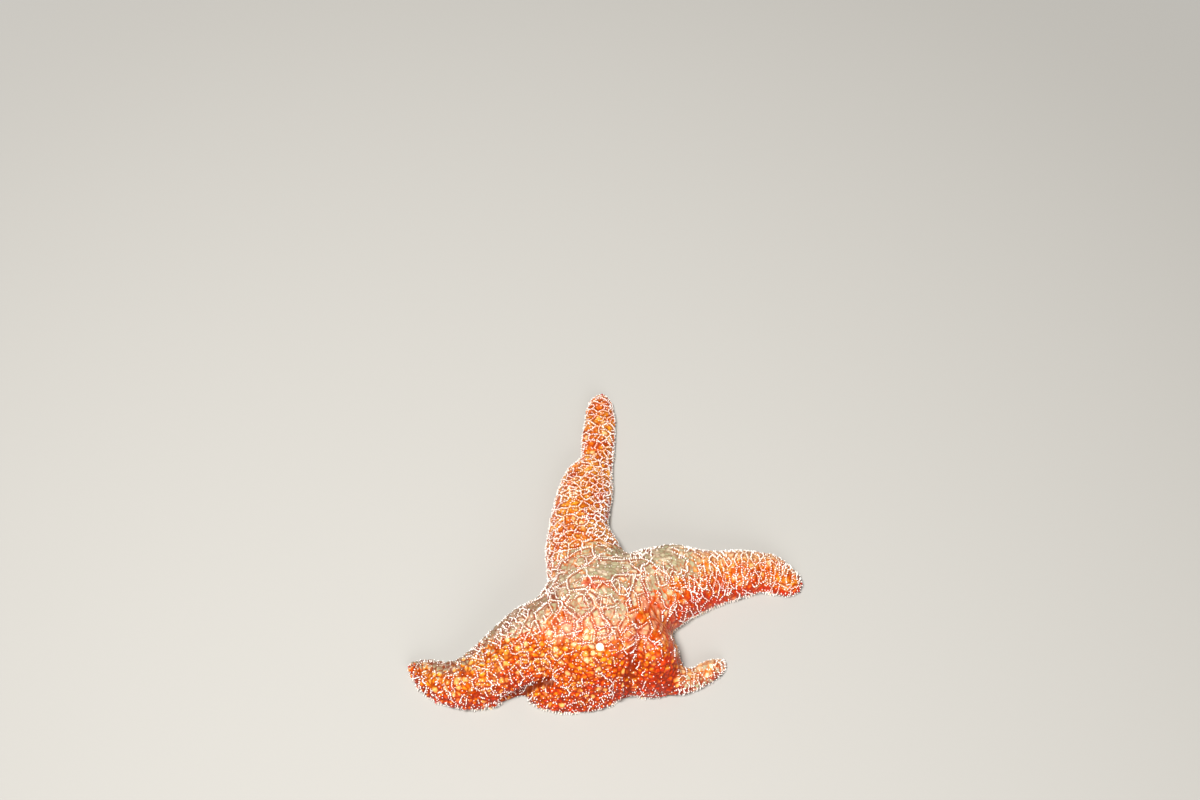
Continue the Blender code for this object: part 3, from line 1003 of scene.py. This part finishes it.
# Pale cream, partly the skin's own and partly painted highlight and painted light.
colour = mixed(tree, read(tree, "pale"), colour, CREAM)

speckle = sums(tree, "MULTIPLY", noise(tree, 900, 4), 0.9)
gritty = stretched(tree, sums(tree, "ADD", read(tree, "sand"), speckle), 0.62, 1.0)
lumps = sums(tree, "MULTIPLY", noise(tree, 640, 2), 0.6)
fleck = sums(tree, "ADD", lumps, sums(tree, "MULTIPLY", read(tree, "grain"), 0.4))
grit = mixed(tree, stretched(tree, fleck, 0.42, 0.74), SAND, PALE_SAND)
colour = mixed(tree, gritty, colour, grit)

# Painted shade: the crevices and the seams of the gill tips are darkened towards a dark red.
painted_shade_share = sums(tree, "ADD", read(tree, "painted_crevice_shade"), sums(tree, "MULTIPLY", seam, 0.7))
colour = mixed(tree, sums(tree, "MULTIPLY", painted_shade_share, 0.92), colour, PAINTED_CREVICE_SHADE)
# Painted shade: where the number runs above 1, in the fold, the skin turns near black.
colour = mixed(tree, stretched(tree, read(tree, "painted_crevice_shade"), 0.9, 1.7), colour, PAINTED_FOLD_SHADE)
colour = mixed(tree, read(tree, "line"), colour, PALE_FLESH)
link(tree, colour, shader.inputs["Base Color"])
dull = stretched(tree, sums(tree, "ADD", gritty, noise(tree, 700)), 0.1, 1.6)
link(tree, dull, shader.inputs["Roughness"])
bumped(tree, shader, sums(tree, "SUBTRACT", noise(tree, 1500), pebble), 0.8, 0.0007)
print("the skin's finish has", len(tree.nodes), "nodes")


# %% Put the skin in the scene
def shown(name, points, faces, material):
    """Puts a mesh in the scene as a piece that rides on the body."""
    made = bpy.data.objects.new(name, mesh_from(name, points, faces))
    made.data.materials.append(material)
    bpy.context.scene.collection.objects.link(made)
    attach(made, BODY)
    print(name, "has", len(faces), "faces")
    return made


def store(made, name, values):
    """Keeps one number per point on a piece, for its material to read."""
    kept = made.data.attributes.new(name, "FLOAT", "POINT")
    kept.data.foreach_set("value", values.astype(np.float32))


skin = shown("star_skin", skin_points, skin_faces, skin_finish)
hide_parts(*FLESH)
numbers = {"line": line, "sand": sand, "deep": deep, "yellow_and_painted_light": yellow_and_painted_light, "painted_crevice_shade": painted_crevice_shade}
numbers.update({"gill_painted_light_and_shade": gill_painted_light_and_shade, "pale": pale, "grain": grain_chance})
for name, values in numbers.items():
    store(skin, name, values)
print("the skin keeps", ", ".join(numbers))

# %% [markdown]
# ## Knobs along the net
#
# The white knobs are short blunt spines of lime with a waist and a swollen head. They
# stand shoulder to shoulder along the bars, so from a little way off a bar reads as a
# white cord. Each knob is one profile turned round its own axis in six steps, and all the
# knobs of a piece are worked out together as one array.


# %% Scatter points on the skin
def unit(vectors):
    """Vectors scaled to length 1."""
    return vectors / np.linalg.norm(vectors, axis=-1, keepdims=True)


def scattered(count, seed, *fields):
    """Random points on the skin, with their normals and the fields' values there. Each takes a triangle
    by its area, then an even place in it: shares 1 - u, u (1 - v) and u v of its three corners."""
    rng = np.random.default_rng(seed)
    first, second, third = (skin_points[skin_faces[:, i]] for i in range(3))
    size = np.linalg.norm(np.cross(second - first, third - first), axis=1)
    chosen = skin_faces[rng.choice(len(skin_faces), count, p=size / size.sum())]
    u, v = np.sqrt(rng.random((count, 1))), rng.random((count, 1))
    shares = (1 - u, u * (1 - v), u * v)

    def at_place(field):
        """A field's value at each place, mixed from the corners by the shares."""
        return sum(share * field[chosen[:, i]] for i, share in enumerate(shares))

    values = [at_place(field[:, None])[:, 0] for field in fields]
    return at_place(skin_points), unit(at_place(skin_normals)), *values


# %% Number the cells of a grid
def grid_keys(points, spacing):
    """One whole number for the grid cell that each point lies in, the same for points in one cell."""
    cell = np.floor(points / spacing).astype(np.int64) + 2000
    return (cell[:, 0] * 4096 + cell[:, 1]) * 4096 + cell[:, 2]


NEIGHBOUR_KEYS = (NEIGHBOURS[:, 0] * 4096 + NEIGHBOURS[:, 1]) * 4096 + NEIGHBOURS[:, 2]


# %% Thin points out
def close_one(points, others, spacing, skip_self=False):
    """For each point the lowest index of the others nearer than the spacing, or else how many others
    there are. A grid cell holds one of the others at most."""
    own = grid_keys(points, spacing)
    other_keys = grid_keys(others, spacing)
    order = np.argsort(other_keys)
    listed = other_keys[order]
    lowest = np.full(len(points), len(others))
    for step in NEIGHBOUR_KEYS:
        wanted = own + step
        at = np.minimum(np.searchsorted(listed, wanted), len(listed) - 1)
        match = order[at]
        near = (listed[at] == wanted) & (((others[match] - points) ** 2).sum(axis=1) < spacing**2)
        if skip_self:
            near &= match != np.arange(len(points))
        lowest = np.where(near & (match < lowest), match, lowest)
    return lowest


def thinned(points, spacing, rounds=4):
    """Indices of points at least the spacing apart. In each round every cell offers its first point,
    offers with no earlier offer close by are kept, and what lies close to them is dropped."""
    left = np.arange(len(points))
    kept = np.empty(0, int)
    for _ in range(rounds):
        if not len(left):
            break
        first = np.unique(grid_keys(points[left], spacing), return_index=True)[1]
        offer = left[np.sort(first)]
        offered = points[offer]
        chosen = offer[close_one(offered, offered, spacing, skip_self=True) > np.arange(len(offer))]
        kept = np.concatenate([kept, chosen])
        left = left[close_one(points[left], points[chosen], spacing) == len(chosen)]
    return kept


# %% Pull points onto the bars
LONGEST_PULL = 1.5


def onto_bars(net, points, normals, *bend_sizes):
    """(places, runs, gaps, chance numbers of the bars). A place is one Newton step along the skin to
    where the two nearest seeds are equally far, and its run is the way the bar goes there."""
    gap, towards, bar, _ = net.measure(points + bend(points, *bend_sizes))
    along_skin = towards - normals * (towards * normals).sum(axis=1, keepdims=True)
    size = np.linalg.norm(along_skin, axis=1, keepdims=True) + 1e-6
    moved = points + along_skin / size**2 * np.minimum(gap, LONGEST_PULL)[:, None]
    return moved, np.cross(normals, along_skin / size), gap, bar


# %% Turn the knobs
SIDES = 6
KNOB = ((-0.25, 0.62), (0.62, 1.0), (0.93, 0.62))
LOWEST = 0.03


def joined(faces):
    """One array of faces from a list, which holds an array per corner for each kind of face."""
    return np.concatenate([np.stack(corners, axis=1) for corners in faces])


def knob_triangles(levels, sides):
    """Triangles of one knob: a closed foot, two triangles per step from each ring to the next, a tip."""
    a = np.arange(sides)
    b = (a + 1) % sides
    foot, tip, top = levels * sides, levels * sides + 1, (levels - 1) * sides
    faces = [(np.full(sides, foot), b, a)]
    for low in range(0, top, sides):
        high = low + sides
        faces += [(low + a, low + b, high + b), (low + a, high + b, high + a)]
    faces.append((top + a, top + b, np.full(sides, tip)))
    return joined(faces)


def turned(roots, ups, runs, height, wide, thick, profile=KNOB, sides=SIDES):
    """(points, triangles, points in each) of many knobs. Ring k of a knob is root + up x height x h_k
    + (cos a x run x wide + sin a x cross x thick) x r_k, closed by a point at each end."""
    crosses = np.cross(ups, runs)
    angle = np.arange(sides) * 2 * np.pi / sides
    h, r = np.array(profile).T
    ring = (runs * wide[:, None])[:, None] * np.cos(angle)[:, None]
    ring = ring + (crosses * thick[:, None])[:, None] * np.sin(angle)[:, None]
    rise = (ups * height[:, None])[:, None]
    rings = roots[:, None, None] + rise[:, None] * h[:, None, None] + ring[:, None] * r[:, None, None]
    ends = roots[:, None] + rise * np.array([h[0], 1.0])[:, None]
    points = np.concatenate([rings.reshape(len(roots), -1, 3), ends], axis=1)
    each = points.shape[1]
    points = points.reshape(-1, 3)
    points[:, 2] = np.maximum(points[:, 2], LOWEST)
    first_points = np.arange(len(roots))[:, None, None] * each
    return points, (knob_triangles(len(profile), sides) + first_points).reshape(-1, 3), each


print("a knob has", len(knob_triangles(len(KNOB), SIDES)), "triangles")

# %% [markdown]
# ## The knobs' places on the map
#
# The knobs need a map, named OFBake. Unwrapping many thousand knobs one by one would waste
# the map on their edges. So each knob is laid flat as a small spot of rings, its tip in the
# middle, at the place of its root on the skin's own unwrap.


# %% Lay a knob flat
def on_circle(radius, angle):
    """The place at a radius and an angle: (radius cos angle, radius sin angle)."""
    return np.stack([radius * np.cos(angle), radius * np.sin(angle)], axis=-1)


def spot(levels, sides):
    """A knob laid flat, for each corner of each triangle: ring k at radius 1 - k / levels, the tip in
    the middle. The closed foot, which nobody sees, lies as a thin star outside the first ring."""
    a = np.arange(sides) * 2 * np.pi / sides
    b = a + 2 * np.pi / sides
    corners = [(on_circle(1.2, (a + b) / 2), on_circle(1.0, b), on_circle(1.0, a))]
    for k in range(levels - 1):
        low, high = 1 - k / levels, 1 - (k + 1) / levels
        corners.append((on_circle(low, a), on_circle(low, b), on_circle(high, b)))
        corners.append((on_circle(low, a), on_circle(high, b), on_circle(high, a)))
    corners.append((on_circle(1 / levels, a), on_circle(1 / levels, b), on_circle(0.0, b)))
    return joined(corners)


# %% Find a place on the map for each knob
SPOT = 0.003
skin_tree = KDTree(len(skin_faces))
for number, centre in enumerate(skin_points[skin_faces].mean(axis=1)):
    skin_tree.insert(centre, number)
skin_tree.balance()


def lay_on_map(made, roots, levels=len(KNOB), sides=SIDES):
    """Gives a piece the map OFBake: each knob is a spot at the place of its root on the skin's own unwrap."""
    nearest = np.array([skin_tree.find(root)[1] for root in roots])
    middle = skin_map[nearest].mean(axis=1)
    flat = middle[:, None, None] + SPOT / 2 * spot(levels, sides)
    made.data.uv_layers.new(name="OFBake").data.foreach_set("uv", flat.ravel())


print("each spot is", SPOT, "of the map wide")

# %% [markdown]
# ## Where the knobs stand
#
# Points are scattered over the skin, and those close to a bar are pulled onto it. Then
# they are thinned out until neighbours stand just shoulder to shoulder. The coarse net
# comes first, so its knobs keep their places where two nets cross.

# %% Scatter the candidates
NEAR_BAR = 1.4
CANDIDATES = 420000
SHOWS_FROM = 1.4
FACES_FLOOR = -0.6
candidates, candidate_normals, *gaps = scattered(CANDIDATES, 101, fine_gap, coarse_gap, thread_gap)
fine_near, coarse_near, thread_near = gaps
seen = (candidates[:, 2] > SHOWS_FROM) & (candidate_normals[:, 2] > FACES_FLOOR)
print(seen.sum(), "candidates lie where they would be seen")


# %% Pull them onto the bars
ON_COARSE, ON_FINE, ON_THREAD = 0.8, 0.7, 0.5


def bars_near(net, near, *bend_sizes):
    """The candidates close to a bar, moved onto it: (places, normals, runs, gaps, chance numbers)."""
    close = seen & (near < NEAR_BAR)
    normals = candidate_normals[close]
    moved, run, gap, bar = onto_bars(net, candidates[close], normals, *bend_sizes)
    return moved, normals, run, gap, bar


places, normals, run, gap, bar = bars_near(coarse_net, coarse_near, *COARSE_BEND)
take = (gap < ON_COARSE) & (bar > 0.15) & (disc_share(places) > 0.35)
take &= (lobe_share(places) < 0.5) & (swelling_share(places) < 0.5)
rows = [(places[take], normals[take], run[take])]
places, normals, run, gap, bar = bars_near(fine_net, fine_near, *FINE_BEND)
take = (gap < ON_FINE) & (bar_strength(places, normals, bar) > 0.5)
rows.append((places[take], normals[take], run[take]))
places, normals, run, gap, bar = bars_near(thread_net, thread_near, *THREAD_BEND)
take = (gap < ON_THREAD) & (thread_strength(places, normals, bar) > 0.5)
rows.append((places[take], normals[take], run[take]))
roots, ups, runs = (np.concatenate(column) for column in zip(*rows))
kind = np.repeat([0, 1, 2], [len(row[0]) for row in rows])
print(len(roots), "candidates lie on the bars")

# %% Keep those that stand clear
SHOULDERS = 0.94
BESIDE_FOLD = 2.3
BESIDE_PLATE = 4.0
keep = thinned(roots, SHOULDERS)
clear = path_distance(roots[keep], FOLD) > BESIDE_FOLD
keep = keep[clear & (plan_distance(roots[keep], PLATE) > BESIDE_PLATE)]
roots, ups, runs, kind = roots[keep], ups[keep], runs[keep], kind[keep]
print(len(roots), "knobs stand on the bars")

# %% [markdown]
# ## Finish of the knobs
#
# A knob is bare lime at its tip, and orange skin covers its foot. One plain white would
# look like icing, so two numbers are kept on each knob: foot is 1 at the root and 0 from
# the swollen head up, and tint tells the pinker knobs from the whiter ones.

# %% Mix the finish of the knobs
WHITE_TIP = (0.98, 0.95, 0.89)
PINK_TIP = (0.98, 0.87, 0.78)
ORANGE_FOOT = (0.8, 0.33, 0.08)
knob_finish, tree, shader = new_material("white_lime", Roughness=0.5)
tip_colour = mixed(tree, read(tree, "tint"), WHITE_TIP, PINK_TIP)
foot = sums(tree, "POWER", read(tree, "foot"), 3.0)
link(tree, mixed(tree, foot, tip_colour, ORANGE_FOOT), shader.inputs["Base Color"])
print("the knobs' finish has", len(tree.nodes), "nodes")

# %% Plant the knobs of the net
KNOBS_PER_PIECE = 5400
rng = np.random.default_rng(7)


def any_run(normals):
    """A direction along the skin at each point, level with the floor."""
    return unit(np.cross(normals, [0.03, 0.02, 1.0]) + 1e-6)


def plant(name, roots, ups, runs, height, wide, thick, tint, lean=0.16):
    """Adds knobs as pieces of a few thousand each, leaning a little at random."""
    order = np.argsort(roots[:, 0])
    for part, start in enumerate(range(0, len(roots), KNOBS_PER_PIECE)):
        rows = order[start : start + KNOBS_PER_PIECE]
        up = unit(ups[rows] + rng.normal(0, lean, (len(rows), 3)))
        run = unit(runs[rows] - up * (runs[rows] * up).sum(axis=1, keepdims=True))
        points, faces, each = turned(roots[rows], up, run, height[rows], wide[rows], thick[rows])
        made = shown(f"{name}_{part + 1}", points, faces, knob_finish)
        ring = np.zeros(each)
        ring[:SIDES] = ring[-2] = 1
        store(made, "foot", np.tile(ring, len(rows)))
        store(made, "tint", np.repeat(tint[rows], each))
        lay_on_map(made, roots[rows])


SIZE_BY_NET = np.array([1.02, 0.92, 0.76])
disc_here = disc_share(roots)
size = rng.uniform(0.75, 1.2, len(roots)) * SIZE_BY_NET[kind] * (1 - 0.1 * disc_here)
size *= (1 + 0.22 * ripple(roots, 13, 91)) * (1 - 0.28 * smoothstep(0.65, 0.1, ups[:, 2]))
size *= 1 - 0.08 * upper_arm_share(roots)
pink = rng.random(len(roots)) ** 2 * (0.15 + 0.3 * (kind == 2) + 0.3 * disc_here)
plant("net_knobs", roots, ups, runs, 1.15 * size, 0.46 * size, 0.4 * size, pink)

# %% [markdown]
# ## Rows at the edge and single knobs
#
# Where the upper side turns down to the floor, stouter knobs stand in close rows and point
# outwards, so that the whole outline is beaded. Between the bars small single knobs are
# scattered, and on the lobes they are most of what is left of the net.

# %% Plant the knobs at the edge
def picked(points, normals, chosen, spacing):
    """The chosen points and their normals, thinned out to the spacing."""
    points, normals = points[chosen], normals[chosen]
    keep = thinned(points, spacing)
    return points[keep], normals[keep]


EDGE_FROM, EDGE_TO = 0.9, 6.5
EDGE_SPACING = 2.1
EDGE_CANDIDATES = 260000
points, normals = scattered(EDGE_CANDIDATES, 202)
at_edge = (points[:, 2] > EDGE_FROM) & (points[:, 2] < EDGE_TO) & (np.abs(normals[:, 2]) < 0.85)
points, normals = picked(points, normals, at_edge, EDGE_SPACING)
on_swelling_edge = 0.95 * swelling_share(points)
bare_edge = highest(0.7 * lobe_share(points), on_swelling_edge, 0.85 * turned_under(points, normals))
keep = rng.random(len(points)) > bare_edge
points, normals = points[keep], normals[keep]
size = rng.uniform(0.7, 1.0, len(points)) * (1 - 0.15 * lobe_share(points))
size *= 1 - 0.25 * smoothstep(0.0, 0.6, normals[:, 1])
sizes = (1.15 * size, 0.38 * size, 0.36 * size)
plant("edge_knobs", points, normals, any_run(normals), *sizes, rng.random(len(size)))

# %% Plant the single knobs
SINGLE_SPACING = 1.8
OFF_THE_BARS = 1.0
loose = rng.random(len(candidates)) < 0.01 + 0.035 * lobe_share(candidates)
loose &= seen & (fine_near > OFF_THE_BARS)
loose &= turned_under(candidates, candidate_normals) < 0.3
loose &= path_distance(candidates, FOLD) > 2.1
loose &= plan_distance(candidates, PLATE) > BESIDE_PLATE
points, normals = picked(candidates, candidate_normals, loose, SINGLE_SPACING)
size = rng.uniform(0.45, 0.8, len(points))
sizes = (0.9 * size, 0.5 * size, 0.5 * size)
plant("single_knobs", points, normals, any_run(normals), *sizes, rng.random(len(size)))

# %% [markdown]
# ## The sieve plate
#
# The pale button beside the middle of the disc is the sieve plate, through which the animal
# takes in sea water. Fine furrows wander out from its middle and fork towards its rim. It
# is worked out in polar steps: a low dome whose height dips wherever a wave round the
# plate is near zero, and the wave has more crests farther out.

# %% Work out the sieve plate
PLATE_RINGS = 26
PLATE_STEPS = 144
PLATE_DOME = 0.9
FURROW = 0.3


def plate_surface():
    """(q, a, smooth dome, height) over radius share q and angle a. The dome is PLATE_DOME x (1 - q^2.4),
    and the height dips below it where |sin(crests x a + wander)| is near 0."""
    q = np.linspace(0, 1, PLATE_RINGS + 1)[1:, None]
    a = np.arange(PLATE_STEPS) * 2 * np.pi / PLATE_STEPS
    wander = 1.3 * np.sin(5 * q + 2 * np.sin(a)) + 0.7 * np.sin(9 * q + 3 * a)
    few, many = np.abs(np.sin(6.5 * a + wander)), np.abs(np.sin(13 * a + 2 * wander))
    ridge = (1 - smoothstep(0.35, 0.6, q)) * few + smoothstep(0.35, 0.6, q) * many
    dome = PLATE_DOME * (1 - q**2.4)
    return q, a, dome, dome - FURROW * (1 - smoothstep(0.0, 0.55, ridge)) * smoothstep(0.05, 0.25, q)


q, a, dome, rise = plate_surface()
print("the sieve plate's height runs from", rise.min().round(2), "to", rise.max().round(2), "mm")

# %% Find its seat
SEAT = 0.35
SEAT_REACH = 5
low, high = (np.array(c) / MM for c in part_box("madreporite"))
nearest = np.argmin(plan_distance(skin_points, PLATE) - 0.05 * skin_points[:, 2])
round_seat = np.linalg.norm(skin_points - skin_points[nearest], axis=1) < SEAT_REACH
plate_up = unit(np.mean(skin_normals[round_seat], axis=0))
plate_run = unit(np.cross(plate_up, [0, 1.0, 0]))
plate_cross = np.cross(plate_up, plate_run)
plate_radius = (high[0] - low[0]) / 2
plate_seat = skin_points[nearest] + plate_up * SEAT
print("sieve plate of radius", plate_radius.round(2), "mm at", plate_seat.round(1))

# %% Make the sieve plate
SKIRT = 1.6
SKIRT_WIDTH = 0.96
spokes = np.cos(a)[:, None] * plate_run + np.sin(a)[:, None] * plate_cross
top = (plate_seat + q[..., None] * plate_radius * spokes + rise[..., None] * plate_up).reshape(-1, 3)
skirt = plate_seat + plate_radius * SKIRT_WIDTH * spokes - SKIRT * plate_up
points = np.concatenate([top, skirt, [plate_seat + plate_up * PLATE_DOME, plate_seat - SKIRT * plate_up]])
step = np.arange(PLATE_STEPS)
following = (step + 1) % PLATE_STEPS
faces = [(np.full(PLATE_STEPS, len(points) - 2), step, following)]
for near in range(0, PLATE_RINGS * PLATE_STEPS, PLATE_STEPS):
    far = near + PLATE_STEPS
    faces += [(near + step, far + step, far + following), (near + step, far + following, near + following)]
rim = PLATE_RINGS * PLATE_STEPS
faces.append((np.full(PLATE_STEPS, len(points) - 1), rim + following, rim + step))
print("a ring of the plate has", PLATE_STEPS, "steps")

# %% Put the sieve plate in the scene
CREAM_LIME = (0.9, 0.79, 0.56)
# Painted shade: the furrows are painted a darker brown, the deeper they dip.
FURROW_PAINTED_SHADE = (0.55, 0.3, 0.11)
plate_finish = two_tone(
    "cream_sieve", lambda tree: read(tree, "painted_furrow_shade"), CREAM_LIME, FURROW_PAINTED_SHADE, (2500, 0.3),
    Roughness=0.5, Specular_IOR_Level=0.3,
)
plate = shown("sieve_plate", points, joined(faces), plate_finish)
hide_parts("madreporite")
# The painted shade follows how far below the smooth dome each point dips.
dip = 1 - np.clip((rise - (dome - FURROW)) / FURROW, 0, 1)
store(plate, "painted_furrow_shade", np.concatenate([dip.ravel() * 0.8, np.full(PLATE_STEPS, 0.6), [0.1, 0.6]]))

# %% [markdown]
# ## The underside
#
# Below, a groove runs along each arm to the mouth, and rows of soft tube feet hang in it.
# They carry the star and end in small sucking discs. Short blunt spines stand on the flat
# underside, and longer ones along both sides of each groove lean over the feet. The roof
# of the grooves is found on the skin itself: it faces down but lies above the floor.

# %% Find the roofs of the grooves
DOWN = np.array([0, 0, -1.0])
ROOF_FROM, ROOF_TO = 2.2, 9.5
FOOT_SPACING = 1.9
CANDIDATES_BELOW = 200000
below, below_normals = scattered(CANDIDATES_BELOW, 303)
on_roof = (below_normals[:, 2] < -0.45) & (below[:, 2] > ROOF_FROM) & (below[:, 2] < ROOF_TO)
roof_points, _ = picked(below, below_normals, on_roof, FOOT_SPACING)
print(len(roof_points), "tube feet hang from the roofs")

# %% Hang the tube feet
AMBER = (0.9, 0.62, 0.32)
PALE_SOLE = (0.96, 0.86, 0.68)
FOOT = ((-0.1, 0.8), (0.3, 1.0), (0.8, 0.75), (0.9, 1.5), (0.99, 1.35))
SOLE = slice(3 * SIDES, 5 * SIDES)
foot_up = unit(DOWN + rng.normal(0, 0.12, roof_points.shape))
foot_length = (roof_points[:, 2] - OFF_THE_FLOOR) / -foot_up[:, 2]
girth = rng.uniform(0.5, 0.62, len(roof_points))
points, faces, each = turned(roof_points, foot_up, any_run(foot_up), foot_length, girth, girth, FOOT)
foot_finish = two_tone(
    "tube_foot_flesh", lambda tree: read(tree, "sole"), AMBER, PALE_SOLE, (1800, 0.3), Roughness=0.3
)
feet = shown("tube_feet", points, faces, foot_finish)
ring = np.zeros(each)
ring[SOLE] = ring[-1] = 1
store(feet, "sole", np.tile(ring, len(roof_points)))
lay_on_map(feet, roof_points, len(FOOT))

# %% Plant the spines on the flat underside
FLAT_SPACING = 2.3
SHORTEST_SPINE = 0.3
SPINE_GAP = 0.08
on_flat = (below_normals[:, 2] < -0.8) & (below[:, 2] < 1.5)
points, normals = picked(below, below_normals, on_flat, FLAT_SPACING)
size = rng.uniform(0.8, 1.1, len(points))
length = np.maximum(points[:, 2] - SPINE_GAP, SHORTEST_SPINE)
sizes = (length, 0.42 * size, 0.38 * size)
plant("oral_spines", points, normals, any_run(normals), *sizes, rng.random(len(size)), lean=0.03)


# %% Plant the spines beside the grooves
def near_roof(points, reach):
    """Whether a point is within reach, in plan, of the roof of a groove. It works in blocks of points."""
    blocks = np.array_split(points[:, None, :2], max(1, len(points) // 400))
    return np.concatenate([
        (np.linalg.norm(roof_points[:, :2] - block, axis=2) < reach).any(axis=1) for block in blocks
    ])


WALL_FROM, WALL_TO = 0.9, 3.2
WALL_SPACING = 1.35
ROOF_REACH = 3.6
LONGEST_SPINE = 2.6
LEANING_GAP = 0.1
on_wall = (below_normals[:, 2] < 0.25) & (below[:, 2] > WALL_FROM) & (below[:, 2] < WALL_TO)
points, normals = picked(below, below_normals, on_wall, WALL_SPACING)
keep = near_roof(points, ROOF_REACH)
points, normals = points[keep], normals[keep]
over = unit(DOWN * 1.1 + normals * [0.7, 0.7, 0.0])
length = np.minimum(LONGEST_SPINE, (points[:, 2] - LEANING_GAP) / -over[:, 2])
size = rng.uniform(0.85, 1.1, len(points))
sizes = (length, 0.4 * size, 0.34 * size)
plant("groove_spines", points, over, any_run(over), *sizes, rng.random(len(size)), lean=0.03)

# %% [markdown]
# ## The mouth
#
# In the middle of the underside the grooves meet at the mouth, closed by a soft membrane
# drawn together in pleats like the neck of a purse. Its surface is worked out in polar
# steps, as the sieve plate's was, with a wave that deepens towards the small opening.

# %% Work out the pleats
MOUTH_RINGS = 18
MOUTH_STEPS = 96
MOUTH_THICK = 1.0
low, high = (np.array(c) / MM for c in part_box("mouth_membrane"))
mouth_radius = (high[0] - low[0]) / 2
centre = (low + high) / 2 + [0, 0, 0.6]
q = np.linspace(0.08, 1, MOUTH_RINGS)[:, None]
a = np.arange(MOUTH_STEPS) * 2 * np.pi / MOUTH_STEPS
pleat = 0.35 * (1 - q) * np.sin(20 * a + 1.5 * np.sin(3 * a)) + 0.12 * np.sin(14 * q)
sag = 0.6 + 1.6 * (1 - q**2) - 2.2 * smoothstep(0.3, 0.08, q) + pleat
across = (mouth_radius * q * np.cos(a), mouth_radius * q * np.sin(a))
outer_face = np.stack([*across, -sag], axis=-1).reshape(-1, 3)
inner_face = np.stack([*across, np.full_like(sag, MOUTH_THICK)], axis=-1).reshape(-1, 3)
points = np.concatenate([outer_face, inner_face]) + centre
print("the mouth membrane hangs", sag.max().round(2), "mm deep")

# %% Make the mouth membrane
inner = MOUTH_RINGS * MOUTH_STEPS
step = np.arange(MOUTH_STEPS)
following = (step + 1) % MOUTH_STEPS
rim = inner - MOUTH_STEPS
faces = []
for near in range(0, rim, MOUTH_STEPS):
    far = near + MOUTH_STEPS
    faces.append((near + step, near + following, far + following, far + step))
    faces.append((inner + near + step, inner + far + step, inner + far + following, inner + near + following))
faces.append((rim + step, rim + following, inner + rim + following, inner + rim + step))
faces.append((inner + step, inner + following, following, step))

BUFF = (0.86, 0.5, 0.3)
PALE_BUFF = (0.93, 0.72, 0.52)
mouth_finish = two_tone(
    "mouth_skin", lambda tree: stretched(tree, noise(tree, 500), 0.35, 0.65), BUFF, PALE_BUFF, (1600, 0.4),
    Roughness=0.35,
)
mouth = shown("mouth_pleats", points, joined(faces), mouth_finish)
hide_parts("mouth_membrane")

# %% [markdown]
# ## Eye spots
#
# At the very end of each arm sits a red eye spot, a bead not much larger than a knob. It
# is planted on the skin's farthest point along the arm's last heading.

# %% Find the tips of the arms
EYE_HEIGHT = 4
tips = []
for line_points in midlines.values():
    heading = unit(line_points[-1] - line_points[-2])
    out = skin_points[:, :2] - line_points[-1]
    off = np.abs(out @ [-heading[1], heading[0]])
    tips.append(np.argmax(out @ heading - 2 * off - 2 * np.abs(skin_points[:, 2] - EYE_HEIGHT)))
roots, ups = skin_points[tips], skin_normals[tips]
print(len(roots), "arm tips")

# %% Plant the eye spots
BEAD = ((-0.3, 0.7), (0.1, 1.0), (0.45, 0.95), (0.8, 0.6))
BEAD_SIDES = 10
BEAD_GIRTH = 0.7
DARK_RED = (0.32, 0.01, 0.008)
RED = (0.55, 0.03, 0.015)
eye_finish = two_tone("eye_red", lambda tree: noise(tree, 1500), DARK_RED, RED, Roughness=0.15)
girth = np.full(len(tips), BEAD_GIRTH)
sizes = (girth * 1.3, girth, girth)
points, faces, _ = turned(roots, ups, any_run(ups), *sizes, BEAD, BEAD_SIDES)
eyes = shown("eye_spots", points, faces, eye_finish)
lay_on_map(eyes, roots, len(BEAD), BEAD_SIDES)
